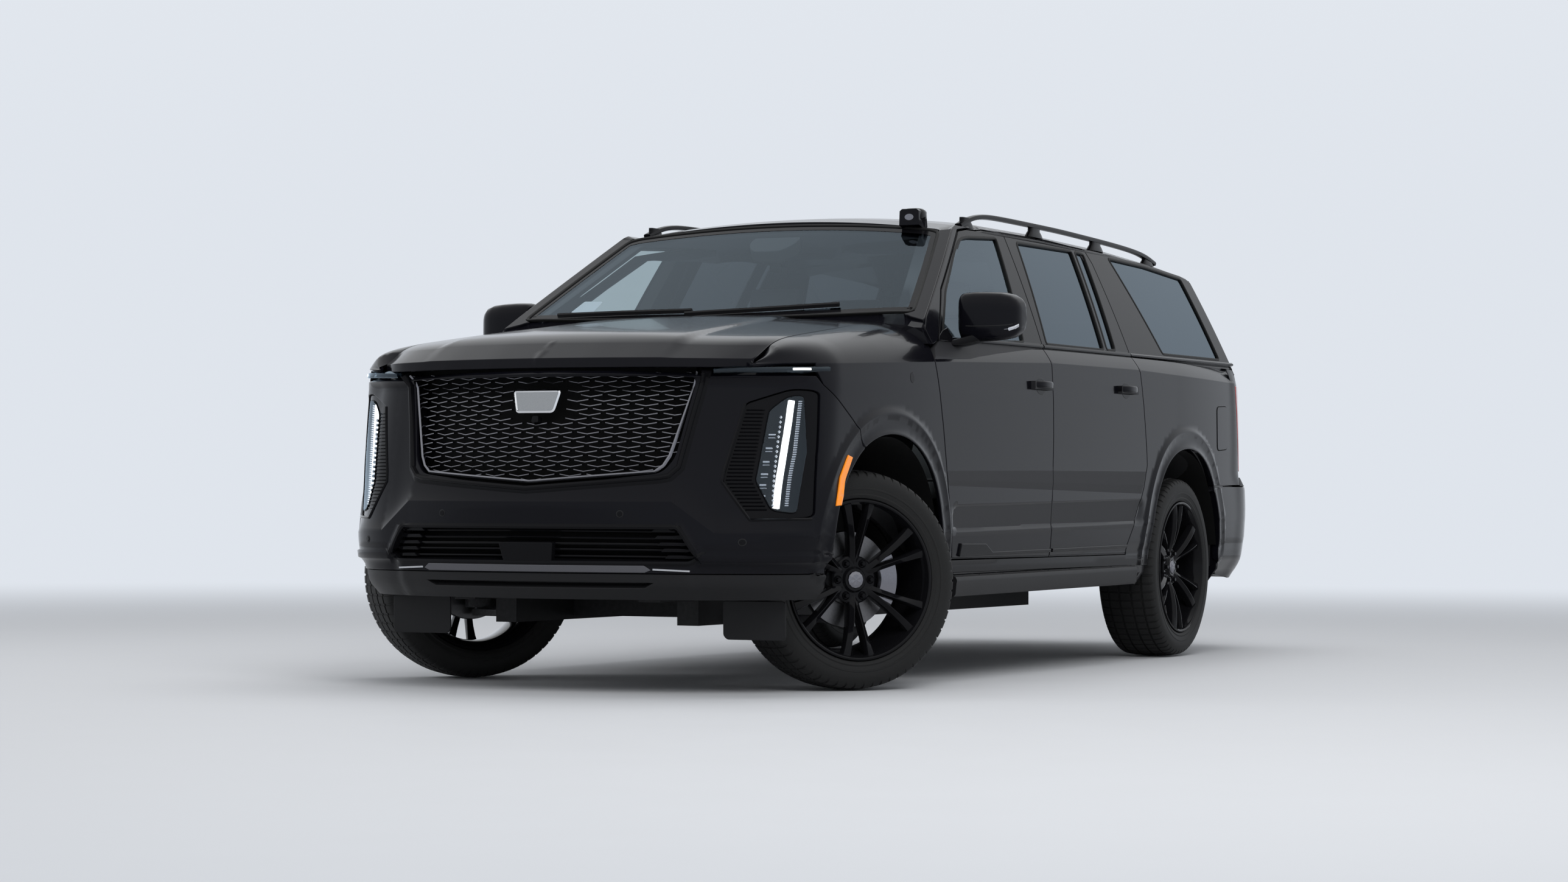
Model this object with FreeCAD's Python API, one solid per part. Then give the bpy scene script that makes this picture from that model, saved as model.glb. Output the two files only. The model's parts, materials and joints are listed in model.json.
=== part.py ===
"""Full-size family car of the tall estate kind, built as separate named pieces.

All sizes are in millimetres. Z points up, the ground is at Z = 0, the nose
points to -Y and the driver's side is +X. The middle of the bounding box is on
the X = 0, Y = 0 line.
"""
import FreeCAD, Part
import math
import os

V = FreeCAD.Vector

# Overall sizes
HALF_LENGTH = 2883.0
BELT_Z = 1380.0
SILL_Z = 335.0
ROOF_EDGE_X = 740.0
ROOF_CROWN = 50.0
RAIL_TOP_Z = 1950.0

# Wheels and steering
FRONT_AXLE_Y = -1878.0
REAR_AXLE_Y = 1529.0
WHEEL_X = 869.0
TYRE_R = 419.0
TYRE_W = 285.0
RIM_R = 305.0
RIM_W = 268.0
KNUCKLE_H = 134.0
DISC_R = 195.0
HUB_R = 78.0
KINGPIN_X = 800.0
HUB_FACE = -58.0
STEER = -37.4
SPOKES = 12
WHEEL_DASH_X = 400.0

# Walls and clearances
DOOR_T = 60.0
DOOR_CLEAR = 12.0
BODY_T = 100.0
PANEL_T = 14.0
HOOD_T = 24.0
GLASS_T = 5.0
GLASS_DEPTH = 6.0
SHUT_GAP = 6.0
MOVE_GAP = 8.0
JAMB = 46.0

# Frame, floor and hinges
RAIL_X = 395.0
RAIL_HALF_W = 45.0
RAIL_Z0 = 245.0
RAIL_Z1 = 415.0
REAR_FLOOR_Z = 700.0
FLOOR_STEP_Y = 1010.0
FLOOR_HALF_W = 860.0
FLOOR_T = 25.0
HORN_Z0 = 340.0
HORN_END_Y = -2330.0
SPINDLE_R = 20.0
SPINDLE_IN = 45.0
KINGPIN_R = 8.0
PIN_R = 3.5
RUN_GAP = 0.35
DOOR_HINGE_X = 1019.0
DOOR_HINGE_Z = (800.0, 1160.0)
BONNET_HINGE = (-1444.0, 1449.0)
BONNET_HINGE_X = 300.0
BONNET_END_Y = -1472.0
GATE_GAP = 26.0
GATE_HINGE = (2107.0, 1886.5)
PLATE_Z = 665.0
PLATE_HALF_W = 165.0
PLATE_HALF_H = 42.0
PLATE_HOLE_X = 89.0
PLATE_HOLE_R = 3.2
FLAP_X = (587.0, 850.0)
FLAP_Y = -2415.0
FLAP_T = 8.0
FLAP_Z0 = 195.0
# Roof pod: middle x and y, half width, half length, bottom and top
ROOF_POD = (600.0, -700.0, 52.0, 48.0, 1862.0, 1945.0)

HANDLE_HALF_L = 105.0
HANDLE_HALF_H = 17.0
HANDLE_X = (1000.0, 1052.0)
FRONT_HANDLE = (-333.0, 1208.0)
REAR_HANDLE = (712.0, 1222.0)
FRONT_HINGE_Y = -1215.0
REAR_HINGE_Y = -138.0
FRONT_HINGE_ROOT_X = 718.0
REAR_HINGE_ROOT_X = 925.0

# Bulkhead, cowl, and the room the front doors' leading edges swing into
BULKHEAD_Y = -1290.0
BULKHEAD_HALF_W = 735.0
COWL_Y = -1452.0
SWING_ROOM_X = 745.0
SWING_ROOM_Y = -1195.0
SWING_ROOM_Z = 1331.0
FOOT_ROOM_X = (866.0, 936.0)
FOOT_ROOM_Y = -1362.0
FOOT_ROOM_Z = 1398.0

# Plan outline of the lower body at several heights:
# height, half width at the doors, side end, corner end and middle of the nose,
# then side end, corner end and middle of the tail
LEVELS = [
    (335, 955, (950, -2300), (620, -2690), -2795, (950, 2260), (740, 2620), 2745),
    (400, 1000, (1000, -2340), (640, -2745), -2845, (1000, 2300), (780, 2700), 2820),
    (550, 1012, (1006, -2365), (645, -2765), -2878, (1008, 2325), (800, 2755), 2870),
    (700, 1022, (1008, -2370), (640, -2752), -2883, (1012, 2335), (800, 2770), 2883),
    (800, 1030, (1010, -2365), (642, -2740), -2873, (1014, 2330), (805, 2750), 2868),
    (850, 1030, (1010, -2360), (643, -2733), -2868, (1014, 2250), (820, 2600), 2740),
    (1200, 1026, (1002, -2310), (652, -2690), -2812, (1008, 2235), (820, 2570), 2705),
    (1290, 1020, (985, -2270), (650, -2620), -2735, (1000, 2225), (810, 2550), 2690),
    (1380, 982, (945, -2210), (630, -2540), -2650, (965, 2200), (780, 2520), 2665),
    (1500, 925, (890, -2100), (600, -2430), -2540, (900, 2150), (720, 2480), 2640),
]

# Bonnet section at the nose, and how much it climbs for each step back
BONNET_REF_Y = -2700.0
BONNET_SLOPE = 0.118
BONNET_SECTION = [(-1100, 700), (1100, 700), (1100, 1205), (900, 1272),
                  (0, 1318, -900, 1272), (-1100, 1205)]

# Cabin side section: height of the belt to the height where the roof begins
CABIN_SIDE = [(-982, BELT_Z), (-900, 1000), (900, 1000), (982, BELT_Z), (760, 1903),
              (740, 1990), (-740, 1990), (-760, 1903)]

# Roof line: distance along the car, height of the roof edge
ROOF_LINE = [(-1500, 1848), (-700, 1848), (-350, 1893), (300, 1898), (1200, 1888),
             (1900, 1862), (2300, 1836), (2800, 1806)]

# Windscreen and tailgate screens: height, middle, how far the ends lie back,
# half width of the curve, and the run for one unit of climb
SCREEN_BASE = (1452, -1440, 60, 900, 1.732)
TAIL_BASE = (1300, 2690, -230, 850, -0.527)

# Windscreen seen from above
SCREEN_PLAN = [(-800, -1330), (-640, -730), (0, -768, 640, -730), (800, -1330),
               (0, -1420, -800, -1330)]

# Door outlines seen from the side, bottom front corner first
FRONT_DOOR = [(-1235, 487), (-1262, 600), (-1440, 1266), (-1398, 1322), (-1335, 1350),
              (-1110, 1572), (-650, 1846), (-330, 1864), (-131, 1870), (-193, 1384), (-170, 548),
              (-170, 484)]
REAR_DOOR = [(-170, 484), (-170, 548), (-193, 1384), (-131, 1870), (400, 1873),
             (838, 1866), (870, 1805), (892, 1394), (994, 889),
             (905, 715, 766, 520), (766, 484)]

# Windows seen from the side
FRONT_WINDOW = [(-1271, 1352), (-1066, 1567), (-641, 1812), (-244, 1838), (-400, 1392)]
REAR_WINDOW = [(-131, 1392), (-10, 1838), (765, 1842), (800, 1800), (716, 1400)]
QUARTER_WINDOW = [(1250, 1412), (1030, 1840), (2081, 1806), (2180, 1412)]

# Wheel openings seen from the side
FRONT_ARCH = [(-2390, 150), (-2362, 560), (-2338, 700), (-1870, 978, -1405, 715),
              (-1385, 560), (-1352, 150)]
REAR_ARCH = [(1020, 150), (1060, 560), (1100, 715), (1545, 975, 2010, 690),
             (2045, 560), (2060, 150)]

# Nose parts seen from the front
GRILLE_OUTLINE = [(-531, 800), (0, 737), (531, 800), (585, 860), (652, 1172), (-652, 1172),
                  (-585, 860)]
LAMP_OUTLINE = [(790, 1150), (1060, 1165), (1060, 672), (850, 672), (780, 780)]
INTAKE_OUTLINE = [(-620, 462), (620, 462), (552, 612), (-552, 612)]

# Bonnet seen from above, and the tailgate seen from behind
BONNET_PLAN = [(-772, COWL_Y), (-790, -2460), (-860, -2900), (860, -2900), (790, -2460),
               (772, COWL_Y)]
TAILGATE_OUTLINE = [(-830, 815), (830, 815), (850, 1330), (735, 1960), (-735, 1960),
                    (-850, 1330)]
TAILGATE_TOP_Y = 2120.0
TAIL_WINDOW = [(-720, 1385), (720, 1385), (640, 1730), (-640, 1730)]


def mirrored(shape):
    """The same shape on the other side of the car."""
    return shape.mirror(V(0, 0, 0), V(1, 0, 0))


def box(x0, x1, y0, y1, z0, z1):
    return Part.makeBox(x1 - x0, y1 - y0, z1 - z0, V(x0, y0, z0))


def rod(start, end, radius):
    """Round bar between two points."""
    along = V(*end) - V(*start)
    return Part.makeCylinder(radius, along.Length, V(*start), along)


def joined(shapes):
    return shapes[0].multiFuse(shapes[1:]).removeSplitter()


def group(shapes):
    """Pieces that share a node without touching."""
    return Part.makeCompound(shapes)


def arc_centre(a, b, c):
    """Centre of the circle through three points of a flat outline."""
    d = 2 * (a[0] * (b[1] - c[1]) + b[0] * (c[1] - a[1]) + c[0] * (a[1] - b[1]))
    sa, sb, sc = (p[0] ** 2 + p[1] ** 2 for p in (a, b, c))
    x = (sa * (b[1] - c[1]) + sb * (c[1] - a[1]) + sc * (a[1] - b[1])) / d
    y = (sa * (c[0] - b[0]) + sb * (a[0] - c[0]) + sc * (b[0] - a[0])) / d
    return (x, y)


def pieces_of(points):
    """Split an outline into lines (start, None, end) and arcs (start, mid, end)."""
    here = points[0][-2:]
    pieces = []
    for p in list(points[1:]) + [points[0][-2:]]:
        end = tuple(p[-2:])
        mid = tuple(p[:2]) if len(p) == 4 else None
        pieces.append((tuple(here), mid, end))
        here = end
    return [s for s in pieces if math.dist(s[0], s[2]) > 1e-6]


def inward(piece, at, turn):
    """Unit vector into the outline at the start, middle or end of a piece."""
    start, mid, end = piece
    if mid is None:
        dx, dy = end[0] - start[0], end[1] - start[1]
    else:
        cx, cy = arc_centre(start, mid, end)
        px, py = at
        dx, dy = -(py - cy), px - cx
        if dx * (end[0] - start[0]) + dy * (end[1] - start[1]) < 0:
            dx, dy = -dx, -dy
    size = math.hypot(dx, dy)
    return (-dy / size * turn, dx / size * turn)


def inset(points, distance):
    """Outline moved inwards by a distance, with the same number of pieces."""
    pieces = pieces_of(points)
    ring = [q for s in pieces for q in (s[0], s[1]) if q]
    area = sum(a[0] * b[1] - b[0] * a[1] for a, b in zip(ring, ring[1:] + ring[:1]))
    turn = 1 if area > 0 else -1
    corners = []
    for k, piece in enumerate(pieces):
        before = pieces[k - 1]
        n1 = inward(before, piece[0], turn)
        n2 = inward(piece, piece[0], turn)
        share = distance / (1 + n1[0] * n2[0] + n1[1] * n2[1])
        corners.append((piece[0][0] + share * (n1[0] + n2[0]),
                        piece[0][1] + share * (n1[1] + n2[1])))
    result = [corners[0]]
    for k, piece in enumerate(pieces):
        end = corners[(k + 1) % len(corners)]
        if piece[1] is None:
            result.append(end)
        else:
            n = inward(piece, piece[1], turn)
            result.append((piece[1][0] + distance * n[0], piece[1][1] + distance * n[1]) + end)
    if len(result[-1]) == 2:
        result.pop()
    return result


def wire(points, place):
    """Closed wire from an outline; place turns a flat point into a 3-D one."""
    edges = []
    for start, mid, end in pieces_of(points):
        if mid is None:
            edges.append(Part.LineSegment(place(*start), place(*end)).toShape())
        else:
            edges.append(Part.Arc(place(*start), place(*mid), place(*end)).toShape())
    return Part.Wire(edges)


def side_prism(points, x0, x1):
    """Outline seen from the side, run across the car."""
    return Part.Face(wire(points, lambda y, z: V(x0, y, z))).extrude(V(x1 - x0, 0, 0))


def front_prism(points, y0, y1):
    """Outline seen from the front, run along the car."""
    return Part.Face(wire(points, lambda x, z: V(x, y0, z))).extrude(V(0, y1 - y0, 0))


def plan_prism(points, z0, z1):
    """Outline seen from above, run upwards."""
    return Part.Face(wire(points, lambda x, y: V(x, y, z0))).extrude(V(0, 0, z1 - z0))


def bulged(start, end, bulge):
    """Arc piece from start to end that swells out of the car by bulge."""
    mx, my = (start[0] + end[0]) / 2, (start[1] + end[1]) / 2
    dx, dy = end[0] - start[0], end[1] - start[1]
    size = math.hypot(dx, dy)
    nx, ny = dy / size, -dx / size
    if nx * mx + ny * my < 0:
        nx, ny = -nx, -ny
    return (mx + nx * bulge, my + ny * bulge) + tuple(end)


def level_outline(level):
    """Plan outline of the lower body at one height."""
    z, w, fs, fc, fy, rs, rc, ry = level
    fs2, fc2 = (-fs[0], fs[1]), (-fc[0], fc[1])
    rs2, rc2 = (-rs[0], rs[1]), (-rc[0], rc[1])
    return [(w, -1400), bulged((w, -1400), fs, 6), bulged(fs, fc, 75), (0, fy) + fc2,
            bulged(fc2, fs2, 75), bulged(fs2, (-w, -1400), 6), (-w, 1000),
            bulged((-w, 1000), rs2, 4), bulged(rs2, rc2, 68), (0, ry) + rc,
            bulged(rc, rs, 68), bulged(rs, (w, 1000), 4)]


def lower_body(d):
    """Lower body volume, all faces moved in by d."""
    wires = []
    for level in LEVELS:
        z = level[0]
        wires.append(wire(inset(level_outline(level), d), lambda x, y, z=z: V(x, y, z)))
    block = Part.makeLoft(wires, True, True)
    block = block.common(box(-1100, 1100, -3000, 3000, SILL_Z + d, 1600))
    run = COWL_Y + 120 - (-HALF_LENGTH - 50)
    back = -HALF_LENGTH - 50
    drop = (back - BONNET_REF_Y) * BONNET_SLOPE - d
    section = Part.Face(wire(BONNET_SECTION, lambda x, z: V(x, back, z + drop)))
    bonnet = section.extrude(V(0, run, run * BONNET_SLOPE))
    bonnet = bonnet.fuse(box(-1100, 1100, back, back + run, 0, 1000))
    rest = box(-1100, 1100, back + run, HALF_LENGTH + 50, 0, BELT_Z - d)
    return block.common(bonnet.fuse(rest))


def screen_prism(base, d):
    """Volume behind a curved screen that leans along the car, moved in by d."""
    z, y, lie, half, run = base
    side = 1 if y < 0 else -1
    y = y + side * d * math.hypot(1, run)
    far = side * 3500
    outline = [(-half, y + lie), (0, y, half, y + lie), (half + 200, y + lie * 1.3),
               (half + 200, far), (-half - 200, far), (-half - 200, y + lie * 1.3)]
    start = Part.Face(wire(outline, lambda a, b: V(a, b - run * 600, z - 600)))
    return start.extrude(V(0, run * 1400, 1400))


def cabin(d):
    """Cabin volume above the belt, all faces moved in by d."""
    sides = front_prism(inset(CABIN_SIDE, d), -1500, HALF_LENGTH)
    wires = []
    for y, edge in ROOF_LINE:
        ze = edge - d
        outline = [(-1100, 850), (1100, 850), (1100, ze - 110), (ROOF_EDGE_X + 50, ze - 16),
                   (ROOF_EDGE_X, ze), (0, ze + ROOF_CROWN, -ROOF_EDGE_X, ze),
                   (-ROOF_EDGE_X - 50, ze - 16), (-1100, ze - 110)]
        wires.append(wire(outline, lambda x, z, y=y: V(x, y, z)))
    roof = Part.makeLoft(wires, True, True)
    shape = sides.common(roof)
    shape = shape.common(screen_prism(SCREEN_BASE, d))
    return shape.common(screen_prism(TAIL_BASE, d))


OUTER = {}


def outer(d):
    """Whole body volume with every face moved in by d."""
    if d not in OUTER:
        OUTER[d] = lower_body(d).fuse(cabin(d)).removeSplitter()
    return OUTER[d]


def slab(zone, d0, d1):
    """Layer of the body between two depths, inside a zone."""
    return outer(d0).common(zone).cut(outer(d1))


def layers(outline, prism, lo, hi, depth=DOOR_T):
    """Opening panel whose edge steps in with depth, so it can swing out of its frame."""
    third = depth / 3
    parts = []
    for k in range(3):
        cutter = prism(inset(outline, SHUT_GAP / 2 + 6 * k), lo, hi)
        parts.append(slab(cutter, third * k, third * (k + 1)))
    return joined(parts)


def turned(shape, x, y, degrees):
    """Turn a shape about an upright line."""
    copy = shape.copy()
    copy.rotate(V(x, y, 0), V(0, 0, 1), degrees)
    return copy


def door(outline, window, handle):
    """Left-hand door with its handle, hollowed where its window is."""
    shape = layers(outline, side_prism, 300, 1100)
    shape = shape.cut(front_prism(inset(CABIN_SIDE, DOOR_T), -1500, HALF_LENGTH))
    y, z = handle
    grip = box(HANDLE_X[0], HANDLE_X[1], y - HANDLE_HALF_L, y + HANDLE_HALF_L,
               z - HANDLE_HALF_H, z + HANDLE_HALF_H)
    shape = shape.fuse(grip).removeSplitter()
    return shape.cut(side_prism(window, 300, 1100))


def glass(outline, prism, lo, hi):
    """Pane just under the outer face, its rim seated in the frame."""
    zone = prism(outline, lo, hi)
    return slab(zone, GLASS_DEPTH, GLASS_DEPTH + GLASS_T)


def arch_cut(outline, x0):
    """Wheel opening on both sides."""
    left = side_prism(outline, x0, 1200)
    return [left, mirrored(left)]


def door_hinge(y, root_x):
    """Arms and pins of a left-hand door hinge, and the room they need in the door."""
    arms, room = [], []
    x = DOOR_HINGE_X
    for z in DOOR_HINGE_Z:
        arm = box(root_x, x, y - 5, y + 5, z - 7, z + 7).fuse(rod((x, y, z - 7), (x, y, z + 7), 5))
        arms.append(joined([arm, rod((x, y, z - 22), (x, y, z + 22), PIN_R)]))
        slot = box(root_x - 100, x + 2, y - 400, y + 5 + MOVE_GAP, z - 7 - MOVE_GAP, z + 7 + MOVE_GAP)
        eye = rod((x, y, z - 23), (x, y, z + 23), PIN_R + RUN_GAP)
        end = rod((x, y, z - 7 - MOVE_GAP), (x, y, z + 7 + MOVE_GAP), 8)
        room += [slot, eye, end]
    return arms, room


def make_body():
    """Roof, pillars, sills, quarter panels and bulkhead in one shell."""
    back = HALF_LENGTH + 50
    shell = outer(0).cut(outer(BODY_T))
    frame_depth = DOOR_T + DOOR_CLEAR
    cuts = [box(-1100, 1100, -back, COWL_Y, 0, 1700),
            box(-FLOOR_HALF_W, FLOOR_HALF_W, -back, back, 0, SILL_Z + BODY_T + 1)]
    for side in (1, -1):
        for outline in (FRONT_DOOR, REAR_DOOR):
            frame = side_prism(inset(outline, -SHUT_GAP / 2), 300 * side, 1100 * side)
            hole = side_prism(inset(outline, JAMB), 300 * side, 1100 * side)
            cuts += [slab(frame, 0, frame_depth), hole]
        cuts.append(side_prism(QUARTER_WINDOW, 300 * side, 1100 * side))
        lo, hi = sorted((SWING_ROOM_X * side, 1100 * side))
        cuts.append(box(lo, hi, COWL_Y - 1, SWING_ROOM_Y, 0, SWING_ROOM_Z))
        lo, hi = sorted((FOOT_ROOM_X[0] * side, FOOT_ROOM_X[1] * side))
        cuts.append(box(lo, hi, FOOT_ROOM_Y, SWING_ROOM_Y, SWING_ROOM_Z - 1, FOOT_ROOM_Z))
    cuts += arch_cut(REAR_ARCH, 540)
    gate = front_prism(inset(TAILGATE_OUTLINE, -SHUT_GAP / 2), TAILGATE_TOP_Y - GATE_GAP, back)
    cuts += [slab(gate, 0, frame_depth),
             front_prism(inset(TAILGATE_OUTLINE, JAMB + 10), TAILGATE_TOP_Y + JAMB, back)]
    cuts.append(slab(rear_bumper_zone(), 0, 40))
    cuts.append(slab(tail_lamp_zone(), 0, 40))
    cuts.append(plan_prism(SCREEN_PLAN, 1300, 2000))
    shell = shell.cut(cuts[0])
    for cut in cuts[1:]:
        shell = shell.cut(cut)
    bulkhead = box(-BULKHEAD_HALF_W, BULKHEAD_HALF_W, BULKHEAD_Y, BULKHEAD_Y + 25, RAIL_Z1 + FLOOR_T, 1400)
    cowl = outer(12).common(box(-890, 890, COWL_Y, BULKHEAD_Y + 25, 1345, 1440))
    y, z = BONNET_HINGE
    pins = []
    for side in (1, -1):
        lo, hi = sorted(((BONNET_HINGE_X - 22) * side, (BONNET_HINGE_X + 22) * side))
        pocket = box(lo, hi, COWL_Y - 1, y + 20, z - 22, z + 100)
        cowl = cowl.cut(pocket)
        shell = shell.cut(pocket)
        foot_lo, foot_hi = sorted((FOOT_ROOM_X[0] * side, FOOT_ROOM_X[1] * side))
        cowl = cowl.cut(box(foot_lo, foot_hi, FOOT_ROOM_Y, BULKHEAD_Y + 30, SWING_ROOM_Z - 1, 1362))
        pins.append(rod((lo - 5, y, z), (hi + 5, y, z), 6))
    brackets = []
    for y, root in ((FRONT_HINGE_Y, FRONT_HINGE_ROOT_X), (REAR_HINGE_Y, REAR_HINGE_ROOT_X)):
        arms = door_hinge(y, root)[0]
        brackets += arms + [mirrored(arm) for arm in arms]
    for z in DOOR_HINGE_Z:
        block = box(FRONT_HINGE_ROOT_X, BULKHEAD_HALF_W, BULKHEAD_Y, FRONT_HINGE_Y + 5,
                    z - 7, z + 7)
        brackets += [block, mirrored(block)]
    y, z = GATE_HINGE
    for side in (1, -1):
        lo, hi = sorted((165 * side, 185 * side))
        brackets.append(rod((lo, y, z), (hi, y, z), 7))
        brackets.append(box(lo, hi, TAILGATE_TOP_Y - GATE_GAP - 8, y, z - 7, z + 4))
        brackets.append(rod((lo, y, z), (230 * side, y, z), PIN_R))
    shell = joined([shell, bulkhead, cowl, roof_pod()] + pins + brackets)
    return max(shell.Solids, key=lambda s: s.Volume)


def roof_pod():
    """Small camera housing on the roof, above the driver's end of the windscreen."""
    x, y, half_w, half_l, z0, z1 = ROOF_POD
    base = [(x - half_w, z0), (x + half_w, z0), (x + half_w, z1 - 14), (x + half_w - 16, z1),
            (x - half_w + 16, z1), (x - half_w, z1 - 14)]
    return front_prism(base, y - half_l, y + half_l)


def rear_bumper_zone():
    """Everything behind the rear wheels and below the tailgate."""
    return side_prism([(2052, 0), (2120, 800), (3000, 800), (3000, 0)], -1100, 1100)


def tail_lamp_zone():
    """Upright lamps at the rear corners, either side of the tailgate."""
    outline = [(2330, 870), (2240, 1100), (2215, 1330), (3000, 1330), (3000, 870)]
    zone = side_prism(outline, 853, 1100)
    return zone.fuse(mirrored(zone))


def make_front():
    """Bonnet, wings, bumper, grille and lamps."""
    back = -HALF_LENGTH - 50
    hood_zone = plan_prism(inset(BONNET_PLAN, SHUT_GAP / 2), 1199, 1600)
    hood = slab(hood_zone, 0, HOOD_T)
    hood = hood.cut(box(-900, 900, BONNET_END_Y, COWL_Y + 100, 1199, 1700))
    y, z = BONNET_HINGE
    for side in (1, -1):
        lo, hi = sorted(((BONNET_HINGE_X - 14) * side, (BONNET_HINGE_X + 14) * side))
        lug = box(lo, hi, COWL_Y - 30, y, z - 11, z + 6).fuse(rod((lo, y, z), (hi, y, z), 11))
        hood = hood.fuse(lug).cut(rod((lo - 1, y, z), (hi + 1, y, z), 6 + RUN_GAP))
    hood = hood.removeSplitter()
    hole = plan_prism(inset(BONNET_PLAN, -SHUT_GAP / 2), 1193, 1700)
    wing_outline = [(-1352, 440), (-1241, 440), (-1241, 487), (-1268, 600), (-1446, 1262),
                    (COWL_Y, 1290), (COWL_Y, 1600), (-2400, 1600), (-2400, 660), (-2300, 660),
                    (-2300, 440)]
    wing = slab(side_prism(wing_outline, 600, 1100), 0, PANEL_T).cut(hole)
    wing = wing.cut(side_prism(FRONT_ARCH, 300, 1200))
    wing = max(wing.Solids, key=lambda s: s.Volume)
    zone = box(-1100, 1100, back, -2400, 0, 1260).fuse(box(-1100, 1100, back, -2300, 0, 660))
    fascia = slab(zone, 0, DOOR_T).cut(hole)
    for cut in arch_cut(FRONT_ARCH, 460):
        fascia = fascia.cut(cut)
    grille_hole = front_prism(GRILLE_OUTLINE, back, -2300)
    lamp_hole = front_prism(LAMP_OUTLINE, back, -2300)
    intake_hole = front_prism(INTAKE_OUTLINE, back, -2300)
    for cut in (grille_hole, lamp_hole, mirrored(lamp_hole), intake_hole):
        fascia = fascia.cut(cut)
    fascia = fascia.cut(make_frame())
    fascia = max(fascia.Solids, key=lambda s: s.Volume)
    flaps = []
    for side in (1, -1):
        lo, hi = sorted((FLAP_X[0] * side, FLAP_X[1] * side))
        shelf = box(lo, hi, back, FLAP_Y + FLAP_T, SILL_Z, SILL_Z + 12)
        flaps.append(shelf.common(outer(0)))
        flaps.append(box(lo, hi, FLAP_Y, FLAP_Y + FLAP_T, FLAP_Z0, SILL_Z + 12))
    fascia = joined([fascia] + flaps)
    plate = box(-PLATE_HALF_W, PLATE_HALF_W, -HALF_LENGTH, -HALF_LENGTH + 40,
                PLATE_Z - PLATE_HALF_H, PLATE_Z + PLATE_HALF_H)
    fascia = joined([fascia, plate.cut(outer(DOOR_T / 2))])
    for x in (-PLATE_HOLE_X, PLATE_HOLE_X):
        hole = rod((x, -HALF_LENGTH - 1, PLATE_Z), (x, -HALF_LENGTH + 22, PLATE_Z), PLATE_HOLE_R)
        fascia = fascia.cut(hole)
    grille_zone = front_prism(GRILLE_OUTLINE, back, -2400)
    intake_zone = front_prism(INTAKE_OUTLINE, back, -2400)
    grille = group([slab(grille_zone, 20, 45), slab(intake_zone, 24, 45)])
    lamp_zone = front_prism(LAMP_OUTLINE, back, -2400)
    lamp = slab(lamp_zone, 4, DOOR_T).cut(box(0, 1100, -3000, -2000, 1193, 1400))
    lamp = max(lamp.Solids, key=lambda s: s.Volume)
    return hood, wing, fascia, grille, group([lamp, mirrored(lamp)])


def frame_rails():
    """Side rails, stepped up over the rear axle, with their cross-members."""
    x0, x1 = RAIL_X - RAIL_HALF_W, RAIL_X + RAIL_HALF_W
    shapes = []
    for side in (1, -1):
        lo, hi = sorted((x0 * side, x1 * side))
        low = box(lo, hi, HORN_END_Y, FLOOR_STEP_Y, RAIL_Z0, RAIL_Z1)
        horn = box(lo, hi, -2640, HORN_END_Y, HORN_Z0, RAIL_Z1)
        post = box(lo, hi, FLOOR_STEP_Y - 100, FLOOR_STEP_Y, RAIL_Z0, REAR_FLOOR_Z)
        high = box(lo, hi, FLOOR_STEP_Y - 100, 2700, REAR_FLOOR_Z - 110, REAR_FLOOR_Z)
        shapes.append(joined([low, horn, post, high]))
    return shapes


def make_frame():
    """Ladder frame: the side rails with their cross-members."""
    shapes = frame_rails()
    for y in (-2560, FRONT_AXLE_Y, -900, 0, 800):
        z0 = HORN_Z0 if y < HORN_END_Y else RAIL_Z0
        shapes.append(box(-RAIL_X, RAIL_X, y, y + 90, z0 + 15, RAIL_Z1 - 15))
    shapes.append(box(-RAIL_X, RAIL_X, 2200, 2290, REAR_FLOOR_Z - 90, REAR_FLOOR_Z - 10))
    return joined(shapes)


def make_floor():
    """Floor plates, riser and rear wheel tubs."""
    y0, y2 = BULKHEAD_Y, 2640
    low = box(-FLOOR_HALF_W, FLOOR_HALF_W, y0, FLOOR_STEP_Y,
              RAIL_Z1, RAIL_Z1 + FLOOR_T)
    riser = box(-545, 545, FLOOR_STEP_Y, FLOOR_STEP_Y + FLOOR_T, RAIL_Z1, REAR_FLOOR_Z + FLOOR_T)
    high = box(-545, 545, FLOOR_STEP_Y, y2, REAR_FLOOR_Z, REAR_FLOOR_Z + FLOOR_T)
    riser = riser.cut(box(-545, 545, FLOOR_STEP_Y, FLOOR_STEP_Y + FLOOR_T, 0, RAIL_Z1))
    shapes = [low, riser, high]
    for side in (1, -1):
        lo, hi = sorted((533 * side, 1100 * side))
        whole = side_prism(REAR_ARCH, lo, hi)
        room = side_prism(inset(REAR_ARCH, 12), *sorted((545 * side, 1100 * side)))
        tub = whole.cut(room).common(outer(40)).cut(box(-1100, 1100, 0, 3000, 0, RAIL_Z1))
        shapes.append(max(tub.Solids, key=lambda s: s.Volume))
    floor = joined(shapes).cut(make_frame())
    return floor.cut(rod((-700, REAR_AXLE_Y, TYRE_R), (700, REAR_AXLE_Y, TYRE_R), 42 + MOVE_GAP))


def tyre():
    """Low-profile tyre about the X axis, centred on the origin."""
    w, r, b = TYRE_W / 2, TYRE_R, RIM_R
    profile = [(-w + 22, b), (-w + 2, b + 20), (-w, b + 55), (-w + 8, r - 26), (-w + 34, r - 3),
               (0, r), (w - 34, r - 3), (w - 8, r - 26), (w, b + 55), (w - 2, b + 20), (w - 22, b)]
    face = Part.Face(wire(profile, lambda x, z: V(x, 0, z)))
    return face.revolve(V(0, 0, 0), V(1, 0, 0), 360)


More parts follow.
